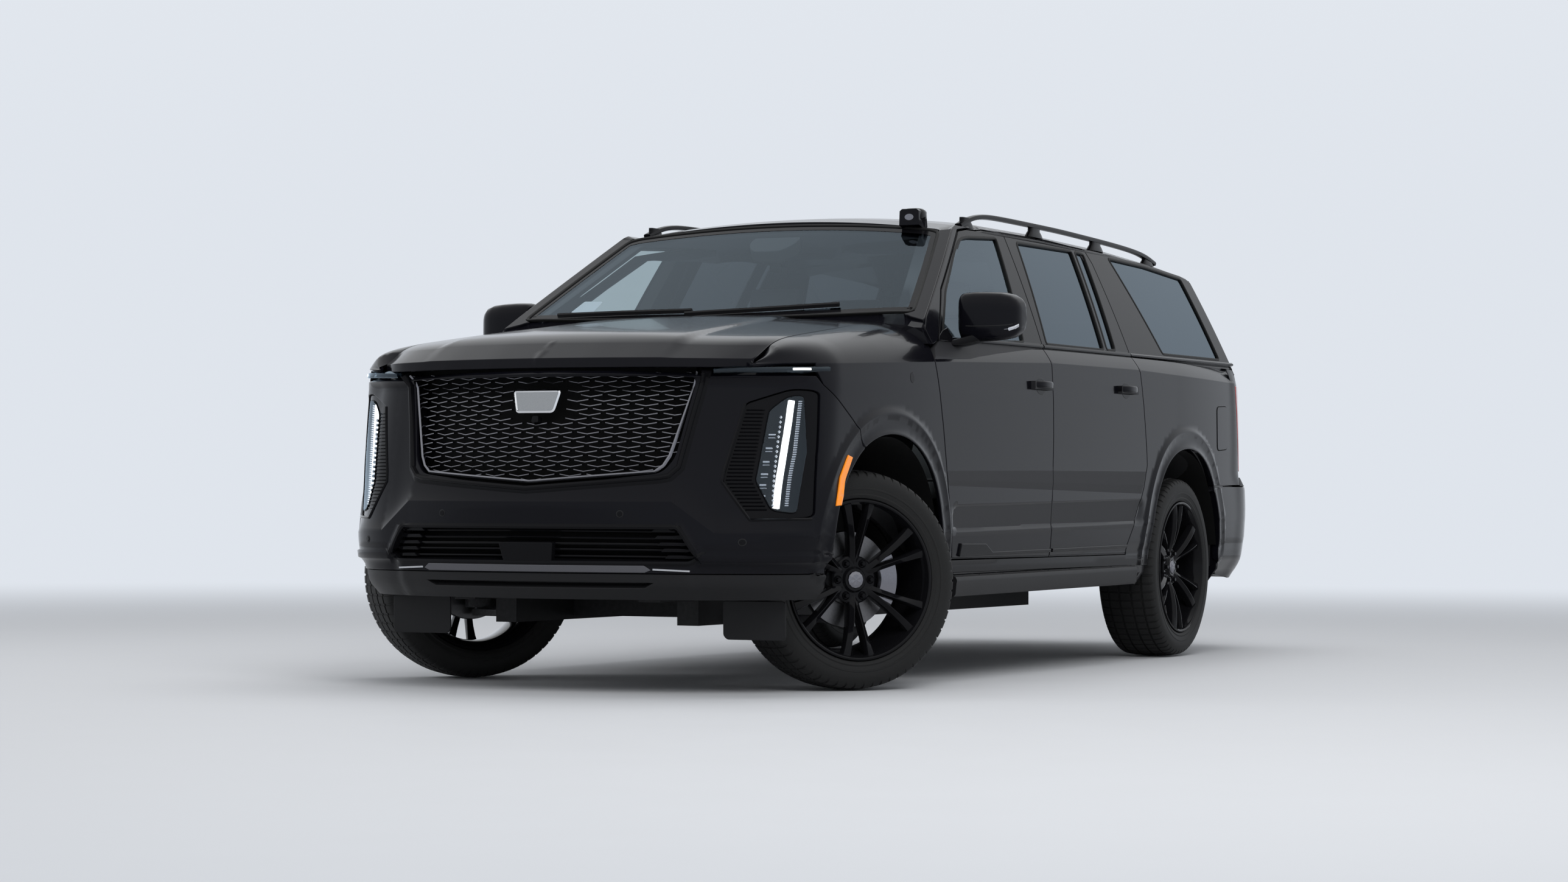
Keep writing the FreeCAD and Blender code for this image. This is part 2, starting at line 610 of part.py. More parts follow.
def wheel():
    """Rim, spokes, hub and brake disc about the X axis, outer face towards +X."""
    w = RIM_W / 2
    barrel = rod((-w, 0, 0), (w, 0, 0), RIM_R).cut(rod((-w, 0, 0), (w, 0, 0), RIM_R - 14))
    hub = rod((HUB_FACE, 0, 0), (w - 22, 0, 0), HUB_R)
    disc = rod((-42, 0, 0), (-12, 0, 0), DISC_R)
    shapes = [barrel, hub, disc]
    for k in range(SPOKES):
        angle = 360.0 / SPOKES * k + 11 * (1 if k % 2 else -1) / 2
        spoke = box(w - 52, w - 16, -13, 13, 60, RIM_R - 5)
        spoke.rotate(V(0, 0, 0), V(1, 0, 0), angle)
        shapes.append(spoke)
    bore = rod((HUB_FACE - 1, 0, 0), (HUB_FACE + SPINDLE_IN + 5, 0, 0), SPINDLE_R + RUN_GAP)
    return joined(shapes).cut(bore)


def placed(shape, x, y, spin):
    """Wheel part moved to a corner of the car."""
    copy = shape.copy()
    copy.rotate(V(0, 0, 0), V(0, 0, 1), spin)
    copy.translate(V(x, y, TYRE_R))
    return copy


def make_corners():
    """Wheels, tyres and knuckles; the front ones stand steered."""
    nodes = {}
    face = WHEEL_X + HUB_FACE - MOVE_GAP
    plate = box(face - 34, face, FRONT_AXLE_Y - 46, FRONT_AXLE_Y + 46, TYRE_R - KNUCKLE_H,
                TYRE_R + KNUCKLE_H)
    spindle = rod((face - 5, FRONT_AXLE_Y, TYRE_R),
                  (WHEEL_X + HUB_FACE + SPINDLE_IN, FRONT_AXLE_Y, TYRE_R), SPINDLE_R)
    plate = plate.fuse(spindle)
    for side in (1, -1):
        low = TYRE_R + side * (HUB_R + 2 * MOVE_GAP)
        high = TYRE_R + side * KNUCKLE_H
        plate = plate.fuse(rod((KINGPIN_X, FRONT_AXLE_Y, low), (KINGPIN_X, FRONT_AXLE_Y, high), 17))
        plate = plate.cut(rod((KINGPIN_X, FRONT_AXLE_Y, high - side * 27),
                              (KINGPIN_X, FRONT_AXLE_Y, high + side), KINGPIN_R + RUN_GAP))
    plate = plate.removeSplitter()
    for name, side in (("left", 1), ("right", -1)):
        spin = 0 if side > 0 else 180
        for kind, shape in (("tyre", tyre()), ("wheel", wheel())):
            front = placed(shape, WHEEL_X * side, FRONT_AXLE_Y, spin)
            nodes[f"{kind}_front_{name}"] = turned(front, KINGPIN_X * side, FRONT_AXLE_Y, STEER)
            nodes[f"{kind}_rear_{name}"] = placed(shape, WHEEL_X * side, REAR_AXLE_Y, spin)
        knuckle = plate if side > 0 else mirrored(plate)
        nodes[f"knuckle_{name}"] = turned(knuckle, KINGPIN_X * side, FRONT_AXLE_Y, STEER)
    return nodes


def make_front_axle():
    """Lower and upper arms with the towers that carry them, left and right."""
    inner = RAIL_X + RAIL_HALF_W
    sides = []
    for side in (1, -1):
        arms = []
        for sign in (-1, 1):
            z0 = TYRE_R + sign * (KNUCKLE_H + MOVE_GAP)
            z1 = z0 + sign * 26
            plan = [(inner * side, FRONT_AXLE_Y - 120), ((KINGPIN_X + 12) * side, FRONT_AXLE_Y - 12),
                    ((KINGPIN_X + 12) * side, FRONT_AXLE_Y + 12), (inner * side, FRONT_AXLE_Y + 120)]
            pin = rod((KINGPIN_X * side, FRONT_AXLE_Y, z0 - sign * (MOVE_GAP + 25)),
                      (KINGPIN_X * side, FRONT_AXLE_Y, z0), KINGPIN_R)
            arms.append(joined([plan_prism(plan, min(z0, z1), max(z0, z1)), pin]))
        lo, hi = sorted(((inner - 70) * side, inner * side))
        tower = box(lo, hi, FRONT_AXLE_Y - 125, FRONT_AXLE_Y + 125, RAIL_Z1, TYRE_R + KNUCKLE_H + 50)
        sides += [arms[0], joined([tower, arms[1]])]
    return group(sides)


def make_rear_axle():
    """Final drive, axle tube with hub flanges and coil springs up to the frame."""
    end = WHEEL_X + HUB_FACE - MOVE_GAP
    tube = rod((-end, REAR_AXLE_Y, TYRE_R), (end, REAR_AXLE_Y, TYRE_R), 42)
    case = Part.makeSphere(135, V(0, REAR_AXLE_Y, TYRE_R))
    case = case.common(box(-300, 300, REAR_AXLE_Y - 130, REAR_AXLE_Y + 130, 0, TYRE_R + 120))
    shapes = [tube, case]
    for side in (1, -1):
        x = RAIL_X * side
        shapes.append(rod(((end - 25) * side, REAR_AXLE_Y, TYRE_R),
                          (end * side, REAR_AXLE_Y, TYRE_R), 75))
        shapes.append(rod((0, REAR_AXLE_Y, TYRE_R),
                          ((WHEEL_X + HUB_FACE + SPINDLE_IN) * side, REAR_AXLE_Y, TYRE_R), SPINDLE_R))
        shapes.append(rod((x, REAR_AXLE_Y, TYRE_R), (x, REAR_AXLE_Y, REAR_FLOOR_Z - 110), 55))
        shapes.append(box(x - 25, x + 25, FLOOR_STEP_Y, REAR_AXLE_Y, TYRE_R - 90, TYRE_R - 30))
    return joined(shapes)


def seat(x, y, floor, width, depth=520, high=690):
    """Seat on its plinth: cushion, leaning back and head restraint."""
    half = width / 2
    plinth = box(x - half + 60, x + half - 60, y + 50, y + depth - 30, floor, floor + 215)
    cushion = box(x - half, x + half, y, y + depth, floor + 215, floor + 400)
    back = side_prism([(y + depth - 90, floor + 330), (y + depth + 60, floor + 300),
                       (y + depth + 235, floor + 400 + high), (y + depth + 130, floor + 400 + high)],
                      x - half, x + half)
    top = floor + 400 + high
    rest = side_prism([(y + depth + 150, top - 20), (y + depth + 215, top - 20),
                       (y + depth + 240, top + 150), (y + depth + 135, top + 150)],
                      x - 130, x + 130)
    return joined([plinth, cushion, back, rest])


def make_cabin_parts():
    """Dashboard with console, steering wheel, front seats and rear seats."""
    floor = RAIL_Z1 + FLOOR_T
    face = BULKHEAD_Y + 25
    outline = [(face, 830), (face, 1215), (-1060, 1235), (-965, 1190), (-930, 1000), (-1010, 830)]
    dash = side_prism(outline, -715, 715)
    console = box(-115, 115, face, -260, floor, 840)
    dash = joined([dash, console])
    centre = V(WHEEL_DASH_X, -800, 1165)
    axis = V(0, 1, 0.46)
    ring = Part.makeTorus(185, 15, centre, axis)
    spoke = box(centre.x - 180, centre.x + 180, -16, 16, -18, 18)
    spoke.translate(V(0, centre.y, centre.z))
    spoke.rotate(centre, V(1, 0, 0), 24.7)
    column = rod((centre.x, centre.y, centre.z), (centre.x, centre.y - 170, centre.z - 78), 38)
    steering = joined([ring, spoke, column]).cut(dash)
    steering = max(steering.Solids, key=lambda s: s.Volume)
    front = group([seat(WHEEL_DASH_X, -640, floor, 530), seat(-WHEEL_DASH_X, -640, floor, 530)])
    rear = [seat(430, 270, floor, 540), seat(-430, 270, floor, 540)]
    rear.append(seat(0, 1300, REAR_FLOOR_Z + FLOOR_T, 1040, depth=420, high=480))
    return dash, steering, front, group(rear)


def make_mirror():
    """Left-hand door mirror on its stalk."""
    head = front_prism([(1040, 1372), (1215, 1385), (1240, 1440), (1228, 1535), (1190, 1562),
                        (1050, 1545), (1025, 1500)], -1180, -1000)
    plan = [(1000, -1010), (1000, -1110), (1060, -1150), (1160, -1140), (1250, -1060), (1250, -1010)]
    head = head.common(plan_prism(plan, 1300, 1600))
    stalk = box(930, 1120, -1120, -1050, 1352, 1392).cut(outer(0))
    stalk = max(stalk.Solids, key=lambda s: s.BoundBox.XMax)
    return joined([head, stalk])


def make_roof_rails():
    """Roof rails on their feet, left and right."""
    top = RAIL_TOP_Z
    outline = [(-545, 1840), (-500, top - 35), (-420, top - 12), (-250, top), (600, top - 2),
               (1500, top - 22), (1800, top - 42), (1860, 1830)]
    room = [(-400, 1700), (-400, top - 36), (-250, top - 27), (600, top - 29), (1500, top - 49),
            (1700, top - 60), (1700, 1700)]
    rail = side_prism(outline, ROOF_EDGE_X - 18, ROOF_EDGE_X + 14)
    rail = rail.cut(side_prism(room, ROOF_EDGE_X - 20, ROOF_EDGE_X + 20))
    for y in (250, 1000):
        rail = rail.fuse(box(ROOF_EDGE_X - 18, ROOF_EDGE_X + 14, y, y + 130, 1800, top - 25))
    rail = rail.removeSplitter().cut(outer(0))
    rail = max(rail.Solids, key=lambda s: s.Volume)
    return group([rail, mirrored(rail)])


def make_boards():
    """Running boards under the doors."""
    outline = [(-1231, 338), (-1231, 422), (858, 435), (858, 349)]
    board = side_prism(outline, 940, 1030).cut(outer(0))
    board = max(board.Solids, key=lambda s: s.Volume)
    return group([board, mirrored(board)])


def make_mechanics():
    """Engine block with gearbox, radiator, and the parts slung under the floor."""
    engine = joined([box(-290, 290, -2290, -1640, RAIL_Z1 - 20, 1010),
                     box(-170, 170, -1641, BULKHEAD_Y - 10, RAIL_Z0 + 30, 700)])
    radiator = box(-500, 500, -2560, -2500, RAIL_Z1 - 20, 1130)
    tank = box(-330, -60, 120, 780, RAIL_Z0 + 10, RAIL_Z1)
    pipe = rod((180, -1100, RAIL_Z0 + 80), (180, 900, RAIL_Z0 + 80), 38)
    silencer = box(100, 260, 300, 700, RAIL_Z0 + 20, RAIL_Z1)
    exhaust = joined([pipe, silencer])
    return engine, radiator, group([tank, exhaust])


def main():
    """Build every piece and write one file for each."""
    os.makedirs("parts", exist_ok=True)
    nodes = {}
    nodes["body_shell"] = make_body()
    hood, wing, fascia, grille, lamps = make_front()
    nodes["hood"] = hood
    nodes["fender_left"] = wing
    nodes["fender_right"] = mirrored(wing)
    nodes["front_bumper"] = fascia
    nodes["grille"] = grille
    nodes["headlamps"] = lamps
    panes = (("front", FRONT_DOOR, FRONT_WINDOW, FRONT_HANDLE),
             ("rear", REAR_DOOR, REAR_WINDOW, REAR_HANDLE))
    for place, outline, window, handle in panes:
        left = door(outline, window, handle)
        hinge_y = FRONT_HINGE_Y if place == "front" else REAR_HINGE_Y
        for room in door_hinge(hinge_y, FRONT_HINGE_ROOT_X)[1]:
            left = left.cut(room)
        pane = glass(window, side_prism, 300, 1100)
        nodes[f"door_{place}_left"] = left
        nodes[f"door_{place}_right"] = mirrored(left)
        nodes[f"glass_{place}_left"] = pane
        nodes[f"glass_{place}_right"] = mirrored(pane)
    back = HALF_LENGTH + 50
    gate = layers(TAILGATE_OUTLINE, front_prism, TAILGATE_TOP_Y, back)
    gate = max(gate.Solids, key=lambda s: s.Volume)
    window = front_prism(TAIL_WINDOW, 2200, back)
    gate = gate.cut(window)
    y, z = GATE_HINGE
    for side in (1, -1):
        lo, hi = sorted((188 * side, 225 * side))
        gate = gate.fuse(box(lo, hi, y, TAILGATE_TOP_Y + 8, z - 7, z + 4))
        gate = gate.fuse(rod((lo, y, z), (hi, y, z), 7))
        gate = gate.cut(rod((160 * side, y, z), (231 * side, y, z), PIN_R + RUN_GAP))
    nodes["liftgate"] = gate.removeSplitter()
    nodes["rear_glass"] = glass(TAIL_WINDOW, front_prism, 2200, back)
    quarter = glass(QUARTER_WINDOW, side_prism, 300, 1100)
    screen = glass(SCREEN_PLAN, plan_prism, 1300, 2000)
    nodes["fixed_glass"] = group([screen, quarter, mirrored(quarter)])
    lamp = slab(tail_lamp_zone(), 2, 40)
    nodes["tail_lamps"] = group([s for s in lamp.Solids if s.Volume > 1e5])
    bumper = slab(rear_bumper_zone(), 0, 40)
    bumper = bumper.cut(make_frame())
    nodes["rear_bumper"] = max(bumper.Solids, key=lambda s: s.Volume)
    nodes["chassis_frame"] = make_frame()
    nodes["floor_pan"] = make_floor()
    nodes.update(make_corners())
    nodes["front_axle"] = make_front_axle()
    nodes["rear_axle"] = make_rear_axle()
    dash, steering, front, rear = make_cabin_parts()
    nodes["dashboard"] = dash
    nodes["steering_wheel"] = steering
    nodes["front_seats"] = front
    nodes["rear_seats"] = rear
    mirror = make_mirror()
    nodes["mirror_left"] = mirror
    nodes["mirror_right"] = mirrored(mirror)
    nodes["roof_rails"] = make_roof_rails()
    nodes["running_boards"] = make_boards()
    engine, radiator, under = make_mechanics()
    nodes["engine"] = engine.cut(nodes["chassis_frame"])
    nodes["radiator"] = radiator.cut(nodes["chassis_frame"])
    nodes["underbody"] = under.cut(nodes["chassis_frame"])
    for name, shape in nodes.items():
        print(name, shape.isValid(), len(shape.Solids), round(shape.Volume / 1e6, 1))
        shape.exportStep(f"parts/{name}.step")


main()
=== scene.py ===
import json
import math

import bmesh
import bpy
import numpy as np
from mathutils import Matrix, Vector
from mathutils.geometry import delaunay_2d_cdt

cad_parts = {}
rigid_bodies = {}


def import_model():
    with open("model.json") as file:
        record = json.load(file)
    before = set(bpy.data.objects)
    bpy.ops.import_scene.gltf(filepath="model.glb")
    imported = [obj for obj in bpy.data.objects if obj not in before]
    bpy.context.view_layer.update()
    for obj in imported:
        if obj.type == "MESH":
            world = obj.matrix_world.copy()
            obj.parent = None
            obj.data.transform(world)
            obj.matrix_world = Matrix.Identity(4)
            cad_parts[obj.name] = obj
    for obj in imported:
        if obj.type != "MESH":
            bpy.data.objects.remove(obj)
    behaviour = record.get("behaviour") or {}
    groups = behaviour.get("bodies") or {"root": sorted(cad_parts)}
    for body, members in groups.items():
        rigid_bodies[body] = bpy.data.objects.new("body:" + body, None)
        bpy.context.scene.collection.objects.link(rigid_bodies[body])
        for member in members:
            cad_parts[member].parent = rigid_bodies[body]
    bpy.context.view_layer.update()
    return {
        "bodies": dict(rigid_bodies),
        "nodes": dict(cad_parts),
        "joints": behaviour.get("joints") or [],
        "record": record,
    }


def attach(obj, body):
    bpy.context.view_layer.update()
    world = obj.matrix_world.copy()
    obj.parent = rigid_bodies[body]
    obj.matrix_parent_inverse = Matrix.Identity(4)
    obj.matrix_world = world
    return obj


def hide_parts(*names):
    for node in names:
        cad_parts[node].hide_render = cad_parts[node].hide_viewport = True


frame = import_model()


# Camera and studio

BACKDROP = (0.74, 0.78, 0.84)
SKY = (0.96, 0.98, 1.0)
CAMERA_PLACE = (6.395, -13.911, 0.700)
CAMERA_TURN = (-0.450435, 0.018585, 0.0041258)
SENSOR_MM, LENS_MM = 36.0, 79.43


def make_camera():
    """Camera at the photograph's place."""
    yaw, pitch, roll = CAMERA_TURN
    forward = Vector((math.sin(yaw) * math.cos(pitch), math.cos(yaw) * math.cos(pitch),
                      math.sin(pitch)))
    right = forward.cross(Vector((0, 0, 1))).normalized()
    up = right.cross(forward)
    right2 = math.cos(roll) * right + math.sin(roll) * up
    up2 = -math.sin(roll) * right + math.cos(roll) * up
    data = bpy.data.cameras.new("camera")
    data.sensor_width = SENSOR_MM
    data.lens = LENS_MM
    data.clip_end = 200.0
    camera = bpy.data.objects.new("camera", data)
    turn = Matrix((right2, up2, -forward)).transposed().to_4x4()
    camera.matrix_world = Matrix.Translation(CAMERA_PLACE) @ turn
    bpy.context.scene.collection.objects.link(camera)
    bpy.context.scene.camera = camera


def seen_directly(tree):
    """Socket that is 1 for camera, mirror and see-through rays."""
    path = tree.nodes.new("ShaderNodeLightPath")
    first = tree.nodes.new("ShaderNodeMath")
    second = tree.nodes.new("ShaderNodeMath")
    first.operation = second.operation = "MAXIMUM"
    tree.links.new(path.outputs["Is Camera Ray"], first.inputs[0])
    tree.links.new(path.outputs["Is Glossy Ray"], first.inputs[1])
    tree.links.new(first.outputs[0], second.inputs[0])
    tree.links.new(path.outputs["Is Transmission Ray"], second.inputs[1])
    return second.outputs[0]


def make_world():
    """Pale surroundings for the eye, and a softer light on the object."""
    world = bpy.data.worlds.new("studio")
    bpy.context.scene.world = world
    world.use_nodes = True
    tree = world.node_tree
    tree.nodes.clear()
    out = tree.nodes.new("ShaderNodeOutputWorld")
    shown = tree.nodes.new("ShaderNodeBackground")
    lit = tree.nodes.new("ShaderNodeBackground")
    mix = tree.nodes.new("ShaderNodeMixShader")
    # The backdrop pales towards the top
    coords = tree.nodes.new("ShaderNodeTexCoord")
    split = tree.nodes.new("ShaderNodeSeparateXYZ")
    climb = tree.nodes.new("ShaderNodeValToRGB")
    climb.color_ramp.interpolation = "EASE"
    climb.color_ramp.elements[0].position = 0.06
    climb.color_ramp.elements[0].color = (*BACKDROP, 1)
    climb.color_ramp.elements[1].position = 0.55
    climb.color_ramp.elements[1].color = (*SKY, 1)
    tree.links.new(coords.outputs["Generated"], split.inputs["Vector"])
    tree.links.new(split.outputs["Z"], climb.inputs["Fac"])
    tree.links.new(climb.outputs["Color"], shown.inputs["Color"])
    lit.inputs["Color"].default_value = (0.93, 0.96, 1.0, 1)
    lit.inputs["Strength"].default_value = 0.5
    tree.links.new(seen_directly(tree), mix.inputs["Fac"])
    tree.links.new(lit.outputs[0], mix.inputs[1])
    tree.links.new(shown.outputs[0], mix.inputs[2])
    tree.links.new(mix.outputs[0], out.inputs["Surface"])


def floor_finish():
    """Pale floor that runs into the backdrop's colour far from the car."""
    material = finish("floor_pale")
    tree = material.node_tree
    surface = tree.nodes["Principled BSDF"]
    out = next(n for n in tree.nodes if n.type == "OUTPUT_MATERIAL")
    coords = tree.nodes.new("ShaderNodeTexCoord")
    length = tree.nodes.new("ShaderNodeVectorMath")
    length.operation = "LENGTH"
    fade = tree.nodes.new("ShaderNodeMapRange")
    fade.interpolation_type = "SMOOTHSTEP"
    fade.inputs["From Min"].default_value = 4.5
    fade.inputs["From Max"].default_value = 17.0
    glow = tree.nodes.new("ShaderNodeEmission")
    glow.inputs["Color"].default_value = (*BACKDROP, 1)
    share = tree.nodes.new("ShaderNodeMath")
    share.operation = "MULTIPLY"
    mix = tree.nodes.new("ShaderNodeMixShader")
    tree.links.new(coords.outputs["Object"], length.inputs[0])
    tree.links.new(length.outputs["Value"], fade.inputs["Value"])
    tree.links.new(seen_directly(tree), share.inputs[0])
    tree.links.new(fade.outputs["Result"], share.inputs[1])
    tree.links.new(share.outputs[0], mix.inputs["Fac"])
    tree.links.new(surface.outputs["BSDF"], mix.inputs[1])
    tree.links.new(glow.outputs["Emission"], mix.inputs[2])
    tree.links.new(mix.outputs["Shader"], out.inputs["Surface"])
    return material


def make_studio():
    """Pale floor, pale surroundings and large soft lamps."""
    bpy.context.scene.view_settings.view_transform = "Standard"
    make_world()
    bpy.ops.mesh.primitive_plane_add(size=160, location=(0, 0, -0.001))
    floor = bpy.context.object
    floor.name = "floor"
    floor.data.materials.append(floor_finish())
    lamps = [("key", (5.5, -7.5, 6.5), (0, -0.5, 0.9), 5.0, 400),
             ("fill", (-8.0, -6.0, 5.0), (0, -1.0, 0.8), 5.0, 150),
             ("over", (0.5, 0.5, 7.5), (0.2, 0.2, 0.0), 6.5, 250)]
    for name, place, aim, size, watts in lamps:
        data = bpy.data.lights.new(name, "AREA")
        data.shape = "DISK"
        data.size = size
        data.energy = watts
        lamp = bpy.data.objects.new(name, data)
        lamp.location = place
        lamp.rotation_euler = (Vector(aim) - Vector(place)).to_track_quat("-Z", "Y").to_euler()
        lamp.visible_glossy = False
        bpy.context.scene.collection.objects.link(lamp)


# Materials: colour, roughness, metal, coat, grain scale, grain depth, bump, glow

FINISHES = {
    "floor_pale": ((0.60, 0.61, 0.63), 0.75, 0, 0, 3, 0.010, 0.0, 0),
    "paint": ((0.004, 0.004, 0.006), 0.16, 0, 1, 1400, 0.30, 0.0, 0),
    "gloss": ((0.005, 0.005, 0.006), 0.12, 0, 0.5, 500, 0.20, 0.0, 0),
    "matte": ((0.010, 0.010, 0.011), 0.46, 0, 0, 900, 0.25, 0.25, 0),
    # Near-black matte: the arch liners, and painted shade in the sheet behind the nose and in the
    # ring round the fuel flap.
    "liner_and_shade": ((0.003, 0.003, 0.003), 0.95, 0, 0, 300, 0.30, 0.3, 0),
    "rubber": ((0.013, 0.013, 0.013), 0.60, 0, 0, 260, 0.20, 0.15, 0),
    "seal": ((0.006, 0.006, 0.006), 0.55, 0, 0, 300, 0.20, 0.1, 0),
    "chrome": ((0.78, 0.79, 0.81), 0.10, 1, 0, 200, 0.03, 0.0, 0),
    "dark_chrome": ((0.20, 0.20, 0.22), 0.20, 1, 0, 300, 0.10, 0.0, 0),
    "badge": ((0.30, 0.31, 0.32), 0.30, 1, 0, 400, 0.08, 0.05, 0),
    "satin": ((0.55, 0.56, 0.58), 0.35, 1, 0, 400, 0.05, 0.05, 0),
    "satin_dark": ((0.10, 0.10, 0.11), 0.32, 0.6, 0, 400, 0.05, 0.05, 0),
    "disc_metal": ((0.15, 0.15, 0.155), 0.34, 1, 0, 150, 0.10, 0.1, 0),
    "cast": ((0.13, 0.13, 0.135), 0.55, 0.8, 0, 120, 0.20, 0.3, 0),
    "chassis": ((0.016, 0.016, 0.017), 0.60, 0, 0, 60, 0.30, 0.2, 0),
    "wheel_black": ((0.006, 0.006, 0.007), 0.09, 0, 1, 700, 0.20, 0.0, 0),
    "leather": ((0.10, 0.10, 0.105), 0.45, 0, 0, 520, 0.10, 0.35, 0),
    "cabin": ((0.020, 0.020, 0.022), 0.55, 0, 0, 600, 0.20, 0.2, 0),
    "carpet": ((0.020, 0.020, 0.021), 0.95, 0, 0, 1500, 0.30, 0.6, 0),
    "amber": ((0.90, 0.26, 0.01), 0.18, 0, 0.8, 200, 0.06, 0.0, 0.25),
    "red_lens": ((0.35, 0.004, 0.004), 0.12, 0, 1, 200, 0.10, 0.0, 0),
    # White glow: the day-running bar, a lamp, and also a painted glint on the upper lamp strip.
    "drl_glow_and_glint": ((1.0, 1.0, 1.0), 0.3, 0, 0, 200, 0.01, 0.0, 1.6),
    "reflector": ((0.62, 0.63, 0.66), 0.12, 1, 0, 200, 0.06, 0.0, 0),
    "plate_white": ((0.75, 0.75, 0.76), 0.45, 0, 0.3, 300, 0.02, 0.0, 0),
}
MADE = {}


def finish(name):
    """Material with a fine procedural variation in tone, roughness and height."""
    if name in MADE:
        return MADE[name]
    colour, rough, metal, coat, scale, depth, bump, glow = FINISHES[name]
    material = bpy.data.materials.new(name)
    material.use_nodes = True
    tree = material.node_tree
    surface = tree.nodes["Principled BSDF"]
    coords = tree.nodes.new("ShaderNodeTexCoord")
    noise = tree.nodes.new("ShaderNodeTexNoise")
    noise.inputs["Scale"].default_value = scale
    noise.inputs["Detail"].default_value = 3.0
    tree.links.new(coords.outputs["Object"], noise.inputs["Vector"])
    tone = tree.nodes.new("ShaderNodeValToRGB")
    tone.color_ramp.elements[0].position = 0.3
    tone.color_ramp.elements[1].position = 0.7
    tone.color_ramp.elements[0].color = (*[c * (1 - depth) for c in colour], 1)
    tone.color_ramp.elements[1].color = (*[min(1.0, c * (1 + depth)) for c in colour], 1)
    tree.links.new(noise.outputs["Fac"], tone.inputs["Fac"])
    tree.links.new(tone.outputs["Color"], surface.inputs["Base Color"])
    ranged = tree.nodes.new("ShaderNodeMapRange")
    ranged.inputs["To Min"].default_value = rough * 0.85
    ranged.inputs["To Max"].default_value = min(1.0, rough * 1.15)
    tree.links.new(noise.outputs["Fac"], ranged.inputs["Value"])
    tree.links.new(ranged.outputs["Result"], surface.inputs["Roughness"])
    surface.inputs["Metallic"].default_value = metal
    dark = max(colour) < 0.05
    surface.inputs["Coat Weight"].default_value = coat * (0.32 if dark else 1)
    surface.inputs["Coat Roughness"].default_value = 0.015
    if coat:
        surface.inputs["Coat IOR"].default_value = 1.28
        surface.inputs["Specular IOR Level"].default_value = 0.06 if dark else 0.3
    elif dark:
        surface.inputs["Specular IOR Level"].default_value = 0.22
    if glow:
        surface.inputs["Emission Color"].default_value = (*colour, 1)
        surface.inputs["Emission Strength"].default_value = glow
    if bump:
        lift = tree.nodes.new("ShaderNodeBump")
        lift.inputs["Strength"].default_value = bump
        lift.inputs["Distance"].default_value = 0.001
        tree.links.new(noise.outputs["Fac"], lift.inputs["Height"])
        tree.links.new(lift.outputs["Normal"], surface.inputs["Normal"])
    MADE[name] = material
    return material


GLASS_INDEX = 1.52


def glass_finish(name, tint, strength):
    """Thin pane: a tint over what is behind it, under a mirror-like surface."""
    material = bpy.data.materials.new(name)
    material.use_nodes = True
    tree = material.node_tree
    tree.nodes.clear()
    out = tree.nodes.new("ShaderNodeOutputMaterial")
    clear = tree.nodes.new("ShaderNodeBsdfTransparent")
    gloss = tree.nodes.new("ShaderNodeBsdfGlossy")
    mix = tree.nodes.new("ShaderNodeMixShader")
    fresnel = tree.nodes.new("ShaderNodeFresnel")
    coords = tree.nodes.new("ShaderNodeTexCoord")
    noise = tree.nodes.new("ShaderNodeTexNoise")
    ramp = tree.nodes.new("ShaderNodeValToRGB")
    noise.inputs["Scale"].default_value = 2.0
    ramp.color_ramp.elements[0].color = (*[c * 0.94 for c in tint], 1)
    ramp.color_ramp.elements[1].color = (*tint, 1)
    gloss.inputs["Roughness"].default_value = 0.01
    gloss.inputs["Color"].default_value = (strength * 0.74, strength * 0.88, strength, 1)
    facing = tree.nodes.new("ShaderNodeNewGeometry")
    index = tree.nodes.new("ShaderNodeMath")
    index.operation = "MULTIPLY_ADD"
    index.inputs[1].default_value = 1 / GLASS_INDEX - GLASS_INDEX
    index.inputs[2].default_value = GLASS_INDEX
    tree.links.new(facing.outputs["Backfacing"], index.inputs[0])
    tree.links.new(index.outputs["Value"], fresnel.inputs["IOR"])
    tree.links.new(coords.outputs["Object"], noise.inputs["Vector"])
    tree.links.new(noise.outputs["Fac"], ramp.inputs["Fac"])
    tree.links.new(ramp.outputs["Color"], clear.inputs["Color"])
    tree.links.new(fresnel.outputs["Fac"], mix.inputs["Fac"])
    tree.links.new(clear.outputs["BSDF"], mix.inputs[1])
    tree.links.new(gloss.outputs["BSDF"], mix.inputs[2])
    tree.links.new(mix.outputs["Shader"], out.inputs["Surface"])
    MADE[name] = material


# Body surface: plan outlines of the lower body at several heights, in mm

LEVELS = np.array([
    # height, half width, side end x y, corner end x y, nose y, then the same for the tail
    (335, 955, 950, -2300, 620, -2690, -2795, 950, 2260, 740, 2620, 2745),
    (400, 1000, 1000, -2340, 640, -2745, -2845, 1000, 2300, 780, 2700, 2820),
    (550, 1012, 1006, -2365, 645, -2765, -2878, 1008, 2325, 800, 2755, 2870),
    (700, 1022, 1008, -2370, 640, -2752, -2883, 1012, 2335, 800, 2770, 2883),
    (800, 1030, 1010, -2365, 642, -2740, -2873, 1014, 2330, 805, 2750, 2868),
    (850, 1030, 1010, -2360, 643, -2733, -2868, 1014, 2250, 820, 2600, 2740),
    (1200, 1026, 1002, -2310, 652, -2690, -2812, 1008, 2235, 820, 2570, 2705),
    (1290, 1020, 985, -2270, 650, -2620, -2735, 1000, 2225, 810, 2550, 2690),
    (1380, 982, 945, -2210, 630, -2540, -2650, 965, 2200, 780, 2520, 2665),
    (1500, 925, 890, -2100, 600, -2430, -2540, 900, 2150, 720, 2480, 2640)], float) / 1000
Z_LOW, Z_STEP = 0.33, 0.005
HEIGHTS = np.arange(Z_LOW, 1.5001, Z_STEP)
U_NOSE, U_TAIL, U_SPAN = -2.2, 2.15, 1.25
U_SIDE = np.arange(U_NOSE, U_TAIL + 1e-6, 0.01)
NOSE_MID, TAIL_MID = U_NOSE - U_SPAN, U_TAIL + U_SPAN
# Columns round each end of the car
TURN = 126


